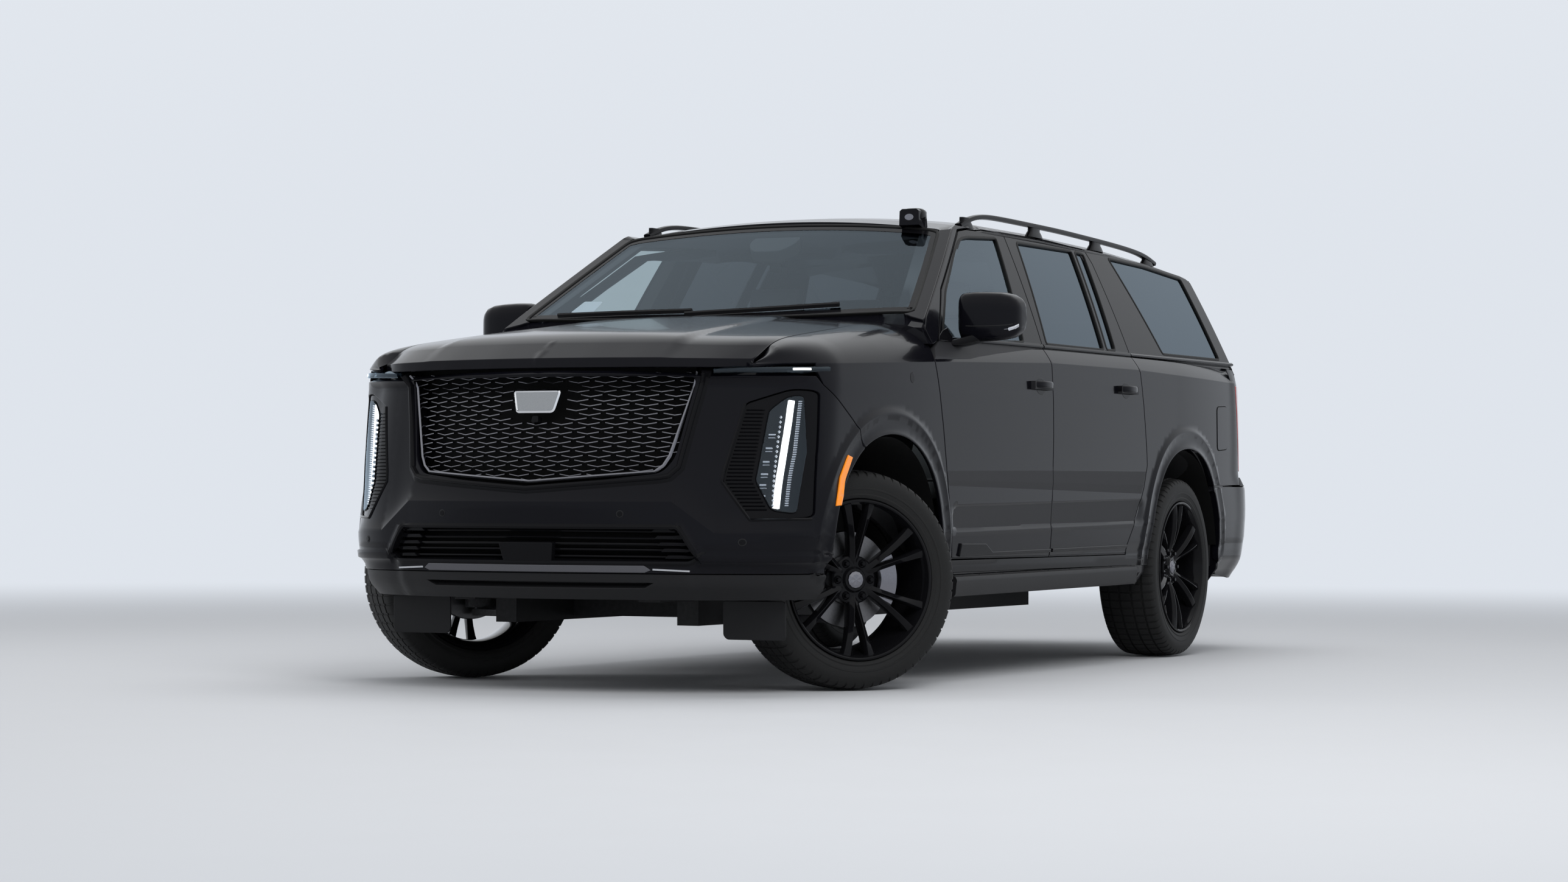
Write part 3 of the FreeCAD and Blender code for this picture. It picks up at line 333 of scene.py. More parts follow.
def smooth(values, sigma):
    """Gaussian smoothing along the first axis; sigma in samples."""
    n = int(3 * sigma) + 1
    kernel = np.exp(-0.5 * (np.arange(-n, n + 1) / sigma) ** 2)
    kernel /= kernel.sum()
    padded = np.concatenate([2 * values[:1] - values[n:0:-1], values,
                             2 * values[-1:] - values[-2:-n - 2:-1]])
    return np.stack([np.convolve(c, kernel, "valid") for c in padded.T], 1)


def bowed(a, b, bulge, n):
    """Shallow arc from a to b that swells away from the middle of the car."""
    a, b = np.array(a), np.array(b)
    t = np.linspace(0, 1, n)[:, None]
    d = b - a
    normal = np.array([d[1], -d[0]]) / np.hypot(*d)
    if normal @ (a + b) < 0:
        normal = -normal
    return a + t * d + 4 * bulge * t * (1 - t) * normal


def half_outline(w, side, corner, mid, bulge):
    """Plan outline from the doors round the corner to just past the middle."""
    s = np.sign(mid)
    x = np.linspace(corner[0], -0.6, 90)
    end = np.stack([x, mid + (corner[1] - mid) * (x / corner[0]) ** 2], 1)
    line = np.concatenate([bowed((w, s * 0.9), (w, s * 1.4), 0, 20),
                           bowed((w, s * 1.4), side, 0.006, 40)[1:],
                           bowed(side, corner, bulge, 50)[1:], end[1:]])
    run = np.concatenate([[0], np.cumsum(np.hypot(*np.diff(line, axis=0).T))])
    even = np.arange(0, run[-1], 0.005)
    return smooth(np.stack([np.interp(even, run, line[:, k]) for k in (0, 1)], 1), 5)


def turn_points(line, limit):
    """Points from where the outline passes |y| = limit round to the middle."""
    run = np.arange(len(line)) * 1.0
    bend = int(np.argmin(line[:, 0] > 0.93)) + 5
    start = np.interp(limit, np.abs(line[:bend, 1]), run[:bend])
    stop = np.interp(0, -line[:, 0], run)
    at = np.linspace(start, stop, TURN)[1:]
    return np.interp(at, run, line[:, 0]), np.interp(at, run, line[:, 1])


def plan_table():
    """Plan outlines at every height: u of each column, and the x and y there."""
    cols = np.stack([np.interp(HEIGHTS, LEVELS[:, 0], LEVELS[:, k]) for k in range(12)], 1)
    cols[:, 1:] = smooth(cols[:, 1:], 2.5)
    share = np.linspace(0, 1, TURN)
    us = np.concatenate([U_NOSE - U_SPAN * share[:0:-1], U_SIDE, U_TAIL + U_SPAN * share[1:]])
    xs = np.zeros((len(HEIGHTS), len(us)))
    ys = np.zeros_like(xs)
    side = slice(TURN - 1, TURN - 1 + len(U_SIDE))
    for i, row in enumerate(cols):
        nose = half_outline(row[1], row[2:4], row[4:6], row[6], 0.075)
        tail = half_outline(row[1], row[7:9], row[9:11], row[11], 0.068)
        x, y = turn_points(nose, -U_NOSE)
        xs[i, :TURN - 1], ys[i, :TURN - 1] = x[::-1], y[::-1]
        xs[i, -TURN + 1:], ys[i, -TURN + 1:] = turn_points(tail, U_TAIL)
        ys[i, side] = U_SIDE
        front = np.interp(-U_SIDE, -nose[:300, 1], nose[:300, 0])
        rear = np.interp(U_SIDE, tail[:300, 1], tail[:300, 0])
        xs[i, side] = np.where(U_SIDE < 0, front, rear)
    return us, xs, ys


US, TABLE_X, TABLE_Y = plan_table()


def lookup(u, z):
    """Base skin point at (u, z); u is y along the side and runs on round the corners."""
    u, z = np.broadcast_arrays(np.asarray(u, float), np.asarray(z, float))
    j = np.interp(u, US, np.arange(len(US)))
    i = np.clip((z - Z_LOW) / Z_STEP, 0, len(HEIGHTS) - 1.001)
    j0, i0 = np.minimum(j.astype(int), len(US) - 2), i.astype(int)
    fj, fi = j - j0, i - i0
    low = [t[i0, j0] * (1 - fj) + t[i0, j0 + 1] * fj for t in (TABLE_X, TABLE_Y)]
    top = [t[i0 + 1, j0] * (1 - fj) + t[i0 + 1, j0 + 1] * fj for t in (TABLE_X, TABLE_Y)]
    return low[0] * (1 - fi) + top[0] * fi, low[1] * (1 - fi) + top[1] * fi


def step(x, a, b):
    """Smooth rise from 0 at a to 1 at b."""
    t = np.clip((np.asarray(x, float) - a) / (b - a), 0, 1)
    return t * t * (3 - 2 * t)


def line_at(x, table):
    """Straight-line interpolation in a table of (x, value) pairs."""
    return np.interp(x, [p[0] for p in table], [p[1] for p in table])


# Mesh building

def resampled(ring, spacing, closed=True):
    """Outline with extra points so that no edge is longer than the spacing."""
    ring = [np.array(p, float) for p in ring]
    ends = ring[1:] + ring[:1] if closed else ring[1:]
    out = []
    for a, b in zip(ring, ends):
        n = max(1, int(math.ceil(np.hypot(*(b - a)) / spacing)))
        out += [a + (b - a) * k / n for k in range(n)]
    if not closed:
        out.append(ring[-1])
    return np.array(out)


def outward(ring):
    """Outward unit vectors at the points of a closed outline, stretched at corners."""
    ring = np.asarray(ring, float)
    area = np.sum(ring[:, 0] * np.roll(ring[:, 1], -1) - np.roll(ring[:, 0], -1) * ring[:, 1])
    edge = np.roll(ring, -1, 0) - ring
    edge /= np.maximum(np.hypot(edge[:, 0], edge[:, 1]), 1e-9)[:, None]
    normal = np.stack([edge[:, 1], -edge[:, 0]], 1) * np.sign(area)
    before = np.roll(normal, 1, 0)
    share = 1 + np.sum(normal * before, 1)
    return (normal + before) / np.maximum(share, 0.35)[:, None]


def grown(ring, distance):
    """Outline moved outwards, or inwards with a negative distance."""
    return np.asarray(ring, float) + outward(ring) * distance


def rounded(ring, radius, steps=4):
    """Outline with its corners rounded."""
    ring = [np.array(p, float) for p in ring]
    out = []
    for k, p in enumerate(ring):
        a, b = ring[k - 1] - p, ring[(k + 1) % len(ring)] - p
        la, lb = np.hypot(*a), np.hypot(*b)
        r = min(radius, la * 0.45, lb * 0.45)
        start, end = p + a / la * r, p + b / lb * r
        for t in np.linspace(0, 1, steps + 1):
            out.append((1 - t) ** 2 * start + 2 * t * (1 - t) * p + t * t * end)
    return np.array(out)


def within(points, ring):
    """Which points lie inside a closed outline."""
    points, ring = np.asarray(points), np.asarray(ring)
    inside = np.zeros(len(points), bool)
    x, y = points[:, 0], points[:, 1]
    for (ax, ay), (bx, by) in zip(ring, np.roll(ring, -1, 0)):
        crosses = (ay > y) != (by > y)
        if ay != by:
            inside ^= crosses & (x < (bx - ax) * (y - ay) / (by - ay) + ax)
    return inside


def distance_to(points, line):
    """Distance of each point to an open polyline."""
    points, line = np.asarray(points, float), np.asarray(line, float)
    starts, runs = line[:-1], np.diff(line, axis=0)
    squares = np.maximum((runs ** 2).sum(1), 1e-12)
    best = np.full(len(points), 1e9)
    for k in range(0, len(points), 3000):
        away = points[k:k + 3000, None] - starts
        t = np.clip((away * runs).sum(2) / squares, 0, 1)
        best[k:k + 3000] = np.sqrt(((away - t[..., None] * runs) ** 2).sum(2)).min(1)
    return best


def fill(ring, spacing, holes=(), lines=()):
    """Triangles over an outline: flat points, triangle list, and the boundary loops."""
    loops = [resampled(r, spacing) for r in [ring] + list(holes)]
    rows = [resampled(r, spacing * 0.7, closed=False) for r in lines]
    points = list(np.concatenate(loops))
    edges, at = [], 0
    for loop in loops:
        edges += [(at + k, at + (k + 1) % len(loop)) for k in range(len(loop))]
        at += len(loop)
    boundary = at
    for row in rows:
        keep = within(row, loops[0])
        for k, loop in enumerate(loops):
            keep &= distance_to(row, np.concatenate([loop, loop[:1]])) > 0.0025
            if k:
                keep &= ~within(row, loop)
        number = np.cumsum(keep) - 1 + len(points)
        edges += [(int(number[k]), int(number[k + 1])) for k in range(len(row) - 1)
                  if keep[k] and keep[k + 1]]
        points += list(row[keep])
    low, high = loops[0].min(0), loops[0].max(0)
    xs = np.arange(low[0], high[0] + spacing, spacing)
    ys = np.arange(low[1], high[1] + spacing, spacing * 0.866)
    shifts = [0.5 * spacing if j % 2 else 0 for j in range(len(ys))]
    grid = np.array([(x + shift, y) for shift, y in zip(shifts, ys) for x in xs])
    keep = within(grid, loops[0])
    for loop in loops[1:]:
        keep &= ~within(grid, loop)
    grid = grid[keep]
    keep = np.ones(len(grid), bool)
    for loop in loops:
        keep &= distance_to(grid, np.concatenate([loop, loop[:1]])) > spacing * 0.55
    for row in rows:
        keep &= distance_to(grid, row) > spacing * 0.5
    points += list(grid[keep])
    made = delaunay_2d_cdt([Vector(p) for p in points], edges, [], 0, 1e-7)
    verts = np.array([tuple(v) for v in made[0]])
    faces = np.array([f for f in made[2] if len(f) == 3])
    middle = verts[faces].mean(1)
    good = within(middle, loops[0])
    for loop in loops[1:]:
        good &= ~within(middle, loop)
    origin = {}
    for new, olds in enumerate(made[3]):
        for old in olds:
            origin.setdefault(old, new)
    index, at = [], 0
    for loop in loops:
        index.append([origin[at + k] for k in range(len(loop))])
        at += len(loop)
    return verts, faces[good], index


def frame_of(surf, points):
    """Positions, unit normals and the two tangents of a surface at flat points."""
    e = 0.0006
    points = np.asarray(points, float)
    p = surf(points)
    ta = (surf(points + [e, 0]) - surf(points - [e, 0])) / (2 * e)
    tb = (surf(points + [0, e]) - surf(points - [0, e])) / (2 * e)
    n = np.cross(ta, tb)
    n /= np.maximum(np.linalg.norm(n, axis=1), 1e-12)[:, None]
    heart = np.stack([p[:, 0] * 0, np.clip(p[:, 1], -2.0, 2.2), p[:, 0] * 0 + 0.8], 1)
    n *= np.where(np.einsum("ij,ij->i", n, p - heart) < 0, -1, 1)[:, None]
    return p, n, ta, tb


def tube_faces(m, n, at=0, wrap=True, loop=False):
    """Faces between n rows of m points; rows may close round, and the last may join the first."""
    faces = []
    for k in range(n if loop else n - 1):
        a, b = at + k * m, at + (k + 1) % n * m
        faces += [(a + i, a + (i + 1) % m, b + (i + 1) % m, b + i)
                  for i in range(m if wrap else m - 1)]
    return faces


def end_faces(m, n, at=0):
    """Faces that close the first and the last of n rings of m points."""
    return [tuple(range(at, at + m))[::-1], tuple(range(at + (n - 1) * m, at + n * m))]


def new_mesh(name, verts, faces, kind, normals=None, smooth_faces=True):
    """Object of points and faces with a named or a ready material."""
    mesh = bpy.data.meshes.new(name)
    mesh.from_pydata([tuple(v) for v in np.asarray(verts, float)], [],
                     [tuple(int(i) for i in f) for f in faces])
    mesh.materials.append(finish(kind) if isinstance(kind, str) else kind)
    mesh.polygons.foreach_set("use_smooth", [smooth_faces] * len(mesh.polygons))
    if normals is not None:
        mesh.normals_split_custom_set_from_vertices([tuple(n) for n in normals])
    obj = bpy.data.objects.new(name, mesh)
    bpy.context.scene.collection.objects.link(obj)
    return obj


def keep_piece(obj, body, slot, replaces=()):
    """Ride a body and stand for CAD nodes; the slot argument is not used."""
    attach(obj, body)
    if replaces:
        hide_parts(*replaces)
    return obj


HANDS = ((1, "left"), (-1, "right"))


def flipped(verts, faces, normals=None):
    """The same mesh on the other side of the car."""
    mirror = np.array([-1.0, 1, 1])
    faces = [tuple(reversed(f)) for f in faces]
    return verts * mirror, faces, None if normals is None else normals * mirror


def both_sides(name, body, slot, verts, faces, kind, normals=None, replaces=(), sides=(1, -1),
               smooth_faces=True):
    """One piece on the left, and its mirror image on the right."""
    made = []
    for side in sides:
        word = "left" if side > 0 else "right"
        v, f, n = (verts, faces, normals) if side > 0 else flipped(verts, faces, normals)
        label = name if len(sides) == 1 else f"{name}_{word}"
        obj = new_mesh(label, v, f, kind, n, smooth_faces)
        where = body.replace("SIDE", word)
        made.append(keep_piece(obj, where, slot, [r.replace("SIDE", word) for r in replaces]))
    return made


def panel(name, body, slot, ring, surf, kind, spacing=0.02, lines=(), holes=(), gap=0.002,
          roll=0.003, depth=0.014, replaces=(), sides=(1, -1), offset=0.0):
    """Sheet panel over an outline on a surface, with rolled edges that turn inwards."""
    outer = grown(resampled(ring, spacing), -(gap + roll))
    inner = [grown(resampled(h, spacing), gap + roll) for h in holes]
    flat, faces, loops = fill(outer, spacing, inner, lines)
    p, n, ta, tb = frame_of(surf, flat)
    p = p + n * offset
    a, b, c = (p[faces[:, k]] for k in range(3))
    facing = np.einsum("ij,ij->i", np.cross(b - a, c - a), n[faces[:, 0]])
    faces[facing < 0] = faces[facing < 0][:, ::-1]
    verts, normals, polys = [p], [n], [tuple(f) for f in faces]
    count = len(p)
    for k, loop in enumerate(loops):
        out2d = outward(flat[loop]) * (1 if k == 0 else -1)
        away = ta[loop] * out2d[:, :1] + tb[loop] * out2d[:, 1:]
        away -= n[loop] * np.einsum("ij,ij->i", away, n[loop])[:, None]
        size = np.linalg.norm(out2d, axis=1) / np.maximum(np.linalg.norm(away, axis=1), 1e-9)
        away = away * size[:, None]
        unit = away / np.linalg.norm(away, axis=1)[:, None]
        rings = [(0.5, 0.13, 0.86, 0.5), (0.86, 0.5, 0.5, 0.86), (1, 1, 0.1, 1)]
        shapes = [(roll * s, roll * d, u, w) for s, d, u, w in rings] + [(roll, depth, 0, 1)]
        before = list(loop)
        for s, d, up, side in shapes:
            verts.append(p[loop] + away * s - n[loop] * d)
            normal = n[loop] * up + unit * side
            normals.append(normal / np.linalg.norm(normal, axis=1)[:, None])
            m = len(loop)
            now = list(range(count, count + m))
            count += m
            polys += [(before[i], before[(i + 1) % m], now[(i + 1) % m], now[i])
                      for i in range(m)]
            before = now
    verts, normals = np.concatenate(verts), np.concatenate(normals)
    polys = turned_out(verts, normals, polys)
    return both_sides(name, body, slot, verts, polys, kind, normals, replaces, sides)


def turned_out(verts, normals, polys):
    """Faces wound so that they face the same way as their normals."""
    out = []
    for f in polys:
        a, b, c = verts[f[0]], verts[f[1]], verts[f[2]]
        facing = np.cross(b - a, c - a) @ (normals[f[0]] + normals[f[1]] + normals[f[2]])
        out.append(f if facing >= 0 else tuple(reversed(f)))
    return out


def sweep(name, body, slot, surf, path, profile, kind, closed=False, sides=(1, -1), spacing=0.02,
          replaces=()):
    """Profile of (sideways, outwards) points run along a flat path on a surface."""
    path = resampled(path, spacing, closed)
    p, n, _, _ = frame_of(surf, path)
    along = np.roll(p, -1, 0) - np.roll(p, 1, 0)
    if not closed:
        along[0], along[-1] = p[1] - p[0], p[-1] - p[-2]
    along /= np.maximum(np.linalg.norm(along, axis=1), 1e-9)[:, None]
    across = np.cross(n, along)
    across /= np.linalg.norm(across, axis=1)[:, None]
    return run_profile(name, body, slot, p, across, n, profile, kind, closed, sides, replaces)


def run_profile(name, body, slot, p, across, up, profile, kind, closed=False, sides=(1, -1),
                replaces=()):
    """Closed profile carried along 3-D points with given cross directions."""
    profile = np.asarray(profile, float)
    m, count = len(profile), len(p)
    verts = (p[:, None] + across[:, None] * profile[None, :, :1]
             + up[:, None] * profile[None, :, 1:]).reshape(-1, 3)
    polys = tube_faces(m, count, loop=closed)
    if not closed:
        polys += end_faces(m, count)
    f = polys[0]
    mid = verts[:m].mean(0)
    facing = np.cross(verts[f[1]] - verts[f[0]], verts[f[2]] - verts[f[0]])
    if facing @ (verts[list(f)].mean(0) - (mid + verts[m:2 * m].mean(0)) / 2) < 0:
        polys = [tuple(reversed(q)) for q in polys]
    for obj in both_sides(name, body, slot, verts, polys, kind, None, replaces, sides):
        sharpen(obj)


def sharpen(obj, degrees=35):
    """Smooth shading that keeps edges sharper than an angle."""
    obj.data.set_sharp_from_angle(angle=math.radians(degrees))


def bevelled(obj, width, segments):
    """Small round on every sharp edge."""
    mod = obj.modifiers.new("bevel", "BEVEL")
    mod.width = width
    mod.segments = segments
    mod.limit_method = "ANGLE"
    mod.angle_limit = math.radians(30)


def solid_piece(name, body, slot, verts, polys, kind, angle=35, replaces=()):
    """Closed piece with its faces turned outwards."""
    obj = new_mesh(name, verts, polys, kind)
    work = bmesh.new()
    work.from_mesh(obj.data)
    bmesh.ops.recalc_face_normals(work, faces=work.faces)
    work.to_mesh(obj.data)
    work.free()
    sharpen(obj, angle)
    return keep_piece(obj, body, slot, replaces)


def loft(name, body, slot, sections, kind, angle=40, replaces=()):
    """Skin over rings of 3-D points, with closed ends."""
    m, n = len(sections[0]), len(sections)
    verts = np.concatenate([np.asarray(s, float) for s in sections])
    return solid_piece(name, body, slot, verts, tube_faces(m, n) + end_faces(m, n), kind, angle,
                       replaces)


# Outlines

def circle(a, b, radius, n):
    """Outline of n points round (a, b)."""
    return [(a + radius * math.cos(t), b + radius * math.sin(t))
            for t in np.linspace(0, 2 * math.pi, n, endpoint=False)]


def oval(n, power):
    """Rounded-square ring with unit half sizes."""
    ts = np.linspace(0, 2 * math.pi, n, endpoint=False)
    c, s = np.cos(ts), np.sin(ts)
    x, y = (np.sign(v) * np.abs(v) ** (2 / power) for v in (c, s))
    return np.stack([x, y], 1)


def across_middle(ring, mid):
    """Outline of (u, z) points on the other side of the middle of the nose or the tail."""
    ring = np.asarray(ring, float)
    return np.stack([2 * mid - ring[:, 0], ring[:, 1]], 1)


# Side of the car

CREASE = [(-2.75, 1.212), (-2.407, 1.222), (-1.375, 1.268), (-0.174, 1.309), (0.87, 1.319),
          (2.287, 1.305), (2.9, 1.29)]
# Door section: height at the front door, distance from the middle of the car
SECTION = [(0.335, 0.955), (0.40, 1.000), (0.44, 1.003), (0.475, 1.004), (0.50, 1.009),
           (0.585, 1.017), (0.594, 1.019), (0.615, 1.009), (0.65, 1.006), (0.68, 1.008),
           (0.705, 1.021), (0.80, 1.024), (1.0, 1.029), (1.15, 1.029), (1.25, 1.026),
           (1.32, 1.022)]
PLAIN_SECTION = [p for p in SECTION if not 0.6 < p[0] < 0.7]
FRONT_ARCH = [(-2.352, 0.52), (-2.335, 0.62), (-2.292, 0.73), (-2.222, 0.835), (-2.12, 0.915),
              (-1.99, 0.961), (-1.865, 0.974), (-1.74, 0.963), (-1.62, 0.925), (-1.52, 0.865),
              (-1.44, 0.78), (-1.395, 0.69), (-1.372, 0.60), (-1.352, 0.44)]
REAR_ARCH = [(1.035, 0.44), (1.062, 0.56), (1.09, 0.66), (1.135, 0.76), (1.20, 0.85),
             (1.29, 0.92), (1.41, 0.962), (1.545, 0.974), (1.68, 0.957), (1.80, 0.91),
             (1.90, 0.83), (1.97, 0.735), (2.01, 0.64), (2.035, 0.52)]


def flowing(line, n=90):
    """Smooth curve through a few points, evenly spaced."""
    line = np.asarray(line, float)
    run = np.concatenate([[0], np.cumsum(np.hypot(*np.diff(line, axis=0).T))])
    even = np.stack([np.interp(np.linspace(0, run[-1], n), run, line[:, k]) for k in (0, 1)], 1)
    return smooth(even, 3.5)


FRONT_ARCH = [tuple(p) for p in flowing(FRONT_ARCH)]
REAR_ARCH = [tuple(p) for p in flowing(REAR_ARCH)]
LIP = [(0.0, 0.009), (0.008, 0.011), (0.016, 0.006), (0.05, 0.004), (0.080, 0.010),
       (0.088, 0.0105), (0.102, 0.0)]
TILT, TILT_FROM = 0.0143, -1.2


def crease_z(y):
    """Height of the shoulder crease."""
    return line_at(y, CREASE)


def scallop(y):
    """How much of the fold along the foot of the doors is there, from 0 to 1."""
    return step(y, -1.262, -1.20) * (1 - step(y, 0.86, 0.98))


def side_x(u, z):
    """Half width and y of the body side at (u, z), creases and wheel lips included."""
    z = np.asarray(z, float)
    x, y = lookup(u, np.minimum(z, 1.20))
    x0 = lookup(0.0, np.minimum(z, 1.20))[0]
    low = z - TILT * (np.asarray(u) - TILT_FROM) * (1 - step(z, 0.80, 1.0))
    up = crease_z(u)
    high = np.where(z > 1.15, 1.15 + (z - 1.15) * 0.17 / (up - 1.15), low)
    mix = scallop(u)
    section = line_at(high, SECTION) * mix + line_at(high, PLAIN_SECTION) * (1 - mix)
    reach = step(u, -2.75, -2.2) * (1 - step(u, 2.2, 2.7))
    out = (section - x0) * reach
    flat = np.stack([np.asarray(u, float), z], -1).reshape(-1, 2)
    for arch in (FRONT_ARCH, REAR_ARCH):
        near = (np.abs(flat[:, 0] - arch[45][0]) < 0.62) & (flat[:, 1] < 1.125)
        if near.any():
            d = np.full(len(flat), 1.0)
            d[near] = distance_to(flat[near], np.array(arch))
            out = out + line_at(d.reshape(z.shape), LIP) * (1 - step(z, 1.1, 1.12))
    lean = np.clip(z - up, 0, 1)
    flank = step(u, -2.9, -2.3) * (1 - step(u, 2.4, 2.9))
    inward = (0.55 * lean + 1.6 * lean ** 2) * flank + 0.4 * lean * (1 - flank)
    return x + out - inward, y


def side(points):
    """(u, z) to a point of the left side."""
    x, y = side_x(points[:, 0], points[:, 1])
    return np.stack([x, y, points[:, 1]], 1)


def side_at(y, z):
    """Half width of the body at one place."""
    return float(side(np.array([(y, z)]))[0, 0])


# Bonnet and the tops of the wings

# Front lip of the bonnet: its foot, how far it leans back, its run, and the round at its top
LIP_FOOT_Z, LIP_REACH, LIP_RUN, LIP_DROP, LIP_FADE = 1.199, 0.115, 0.125, 0.022, 0.07


def nose_y(x):
    """Front edge of the bonnet seen from above."""
    x = np.abs(x)
    return line_at(x, [(0, -2.797), (0.2, -2.791), (0.4, -2.768), (0.55, -2.735), (0.652, -2.700),
                       (0.72, -2.655), (0.76, -2.612), (0.80, -2.555)])


NOSE_XS = np.arange(-0.9, 0.9001, 0.01)
NOSE_TABLE = smooth(nose_y(NOSE_XS)[:, None], 3)[:, 0]


def hood_top(x, y):
    """Height of the bonnet's upper face."""
    ax = np.abs(x)
    z = 1.320 - 0.046 * (ax / 0.9) ** 2 + (y + 2.7) * 0.118
    z -= 0.010 * np.clip((y + 1.75) / 0.3, 0, 1) ** 2
    edge = 0.50 - 0.14 * (y + 2.7) / 1.25
    z += 0.009 * (1 - step(ax, edge - 0.012, edge + 0.05)) * step(y, -2.72, -2.55)
    return z


def hood(points):
    """(x, v) on the bonnet: v runs up the lip, over the front facet, then back."""
    x, v = points[:, 0], points[:, 1]
    y0 = np.interp(x, NOSE_XS, NOSE_TABLE)
    y_top = y0 + LIP_REACH
    z_top = hood_top(x, y_top) - LIP_DROP
    centre = 0.004 * (1 - step(np.abs(x), 0.0, 0.02))
    back = np.interp(v, [0, 0.042, LIP_RUN], [0, 0.052, 1.0])
    y = np.where(v < LIP_RUN, y0 + LIP_REACH * back, y_top + (v - LIP_RUN))
    rise = np.interp(v, [0, 0.042, LIP_RUN], [0, 0.40, 1.0])
    z = np.where(v < LIP_RUN, LIP_FOOT_Z + (z_top - LIP_FOOT_Z) * rise,
                 hood_top(x, y) - LIP_DROP * np.exp(-np.clip(v - LIP_RUN, 0, 2) / LIP_FADE))
    return np.stack([x, y - centre * (v < 0.13), z], 1)


def hood_v(x, y):
    """v of a point of the bonnet's upper face."""
    y0 = np.interp(x, NOSE_XS, NOSE_TABLE)
    return LIP_RUN + y - (y0 + LIP_REACH)


def hood_edge(u):
    """Point of the bonnet's side edge beside the wing at u."""
    u = np.asarray(u, float)
    t = np.clip((U_NOSE - u) / 0.46, 0, 1)
    y = np.where(u > U_NOSE, u, U_NOSE - 0.34 * t)
    x = np.interp(y, [-2.56, -2.45, -1.9, -1.343], [0.790, 0.798, 0.795, 0.772])
    y0 = np.interp(x, NOSE_XS, NOSE_TABLE)
    z = hood_top(x, y) - LIP_DROP * np.exp(-np.clip(y - y0 - LIP_REACH, 0, 2) / LIP_FADE)
    ramp = np.clip((y - y0) / LIP_REACH, 0, 1)
    z = np.where(y < y0 + LIP_REACH, LIP_FOOT_Z + (z - LIP_FOOT_Z) * ramp, z)
    return np.stack([x, y, z], -1)


# Run from the crease over the top of the wing to the bonnet
CREST = 0.25


def wing(points):
    """(u, v) on the wing: v is height up to the crease, then runs on to the bonnet edge."""
    u, v = points[:, 0], points[:, 1]
    up = crease_z(u)
    x, y = side_x(u, np.minimum(v, up))
    low = np.stack([x, y, np.minimum(v, up)], 1)
    s = np.clip((v - up) / CREST, 0, 1)[:, None]
    top = hood_edge(u)
    rise = (top[:, 2] - up)[:, None]
    away = low - top
    away[:, 2] = 0
    flat = away / np.maximum(np.linalg.norm(away, axis=1), 1e-6)[:, None]
    zed = np.array([0, 0, 1.0])
    p1 = low - flat * 0.030 + zed * rise * 0.55
    p2 = top + flat * 0.11 + zed * (-0.012)
    curve = ((1 - s) ** 3 * low + 3 * (1 - s) ** 2 * s * p1 + 3 * (1 - s) * s ** 2 * p2
             + s ** 3 * top)
    return np.where((v > up)[:, None], curve, low)


# Glasshouse and roof

ROOF_EDGE = [(-1.5, 1.848), (-0.70, 1.848), (-0.53, 1.876), (-0.35, 1.893), (0.30, 1.898),
             (1.20, 1.888), (1.90, 1.862), (2.30, 1.836), (2.8, 1.806)]


def house_x(z):
    """Half width of the cabin at a height."""
    return 0.980 - 0.4245 * (z - 1.38) + 0.007 * (1 - ((z - 1.62) / 0.25) ** 2)


def house(points):
    """(y, z) on the cabin's left side."""
    y, z = points[:, 0], points[:, 1]
    return np.stack([house_x(z), y, z], 1)


def roof(points):
    """(x, y) on the roof; beyond the edge it rolls over into the side."""
    x, y = points[:, 0], points[:, 1]
    ax = np.abs(x)
    edge = line_at(y, ROOF_EDGE)
    z = edge + 0.050 * (1 - (np.minimum(ax, 0.74) / 0.74) ** 2)
    over = np.clip(ax - 0.70, 0, 1)
    z = z - 3.9 * over ** 2 * (1 + 6 * over)
    return np.stack([x, y, z], 1)


def screen(points):
    """(x, z) on the windscreen."""
    x, z = points[:, 0], points[:, 1]
    return np.stack([x, -1.440 + 1.732 * (z - 1.452) + 0.06 * (x / 0.9) ** 2, z], 1)


def back_screen(points):
    """(x, z) on the tailgate above the belt."""
    x, z = points[:, 0], points[:, 1]
    return np.stack([x, 2.690 - 0.527 * (z - 1.300) - 0.23 * (x / 0.85) ** 2, z], 1)


# Nose, by (x, z) on the skin

def u_of_x(x, z, nose=True):
    """u of the skin point at a distance x from the middle, ahead or behind."""
    part = slice(0, TURN + 12) if nose else slice(len(US) - TURN - 12, len(US))
    us = US[part]
    out = np.zeros(len(x))
    for k, (px, pz) in enumerate(zip(np.abs(x), z)):
        i = min(max((pz - Z_LOW) / Z_STEP, 0), len(HEIGHTS) - 1.001)
        i0 = int(i)
        row = TABLE_X[i0, part] * (1 - i + i0) + TABLE_X[i0 + 1, part] * (i - i0)
        out[k] = np.interp(px, row, us) if nose else np.interp(-px, -row, us)
    return out


# Heights of the bumper's fold and of the strip below it, by distance from the middle
FOLD = [(0.0, 0.710), (0.559, 0.712), (0.709, 0.599), (0.991, 0.595), (1.1, 0.595)]
STRIP = [(0.0, 0.619), (0.60, 0.619), (0.662, 0.523), (0.979, 0.522), (1.1, 0.522)]


def relief(x, z, y):
    """Distance of the bumper face behind the plain skin."""
    x = np.abs(x)
    fold = line_at(x, FOLD)
    below = line_at(x, STRIP) - z
    above = np.clip(z - fold, 0, 1)
    lean = 0.020 * (1 - np.exp(-above / 0.050)) + 0.045 * above
    lean = lean * step(-y, 2.40, 2.60) * (1 - step(z, 1.14, 1.2))
    tuck = 0.04 * np.clip(fold - z, 0, 1)
    bead = 0.010 * step(below, -0.003, 0.003) * (1 - step(below, 0.028, 0.034))
    lip = 0.012 * step(below, 0.030, 0.046) * step(x, 0.60, 0.66)
    return lean + tuck - bead * step(x, 0.56, 0.60) + lip


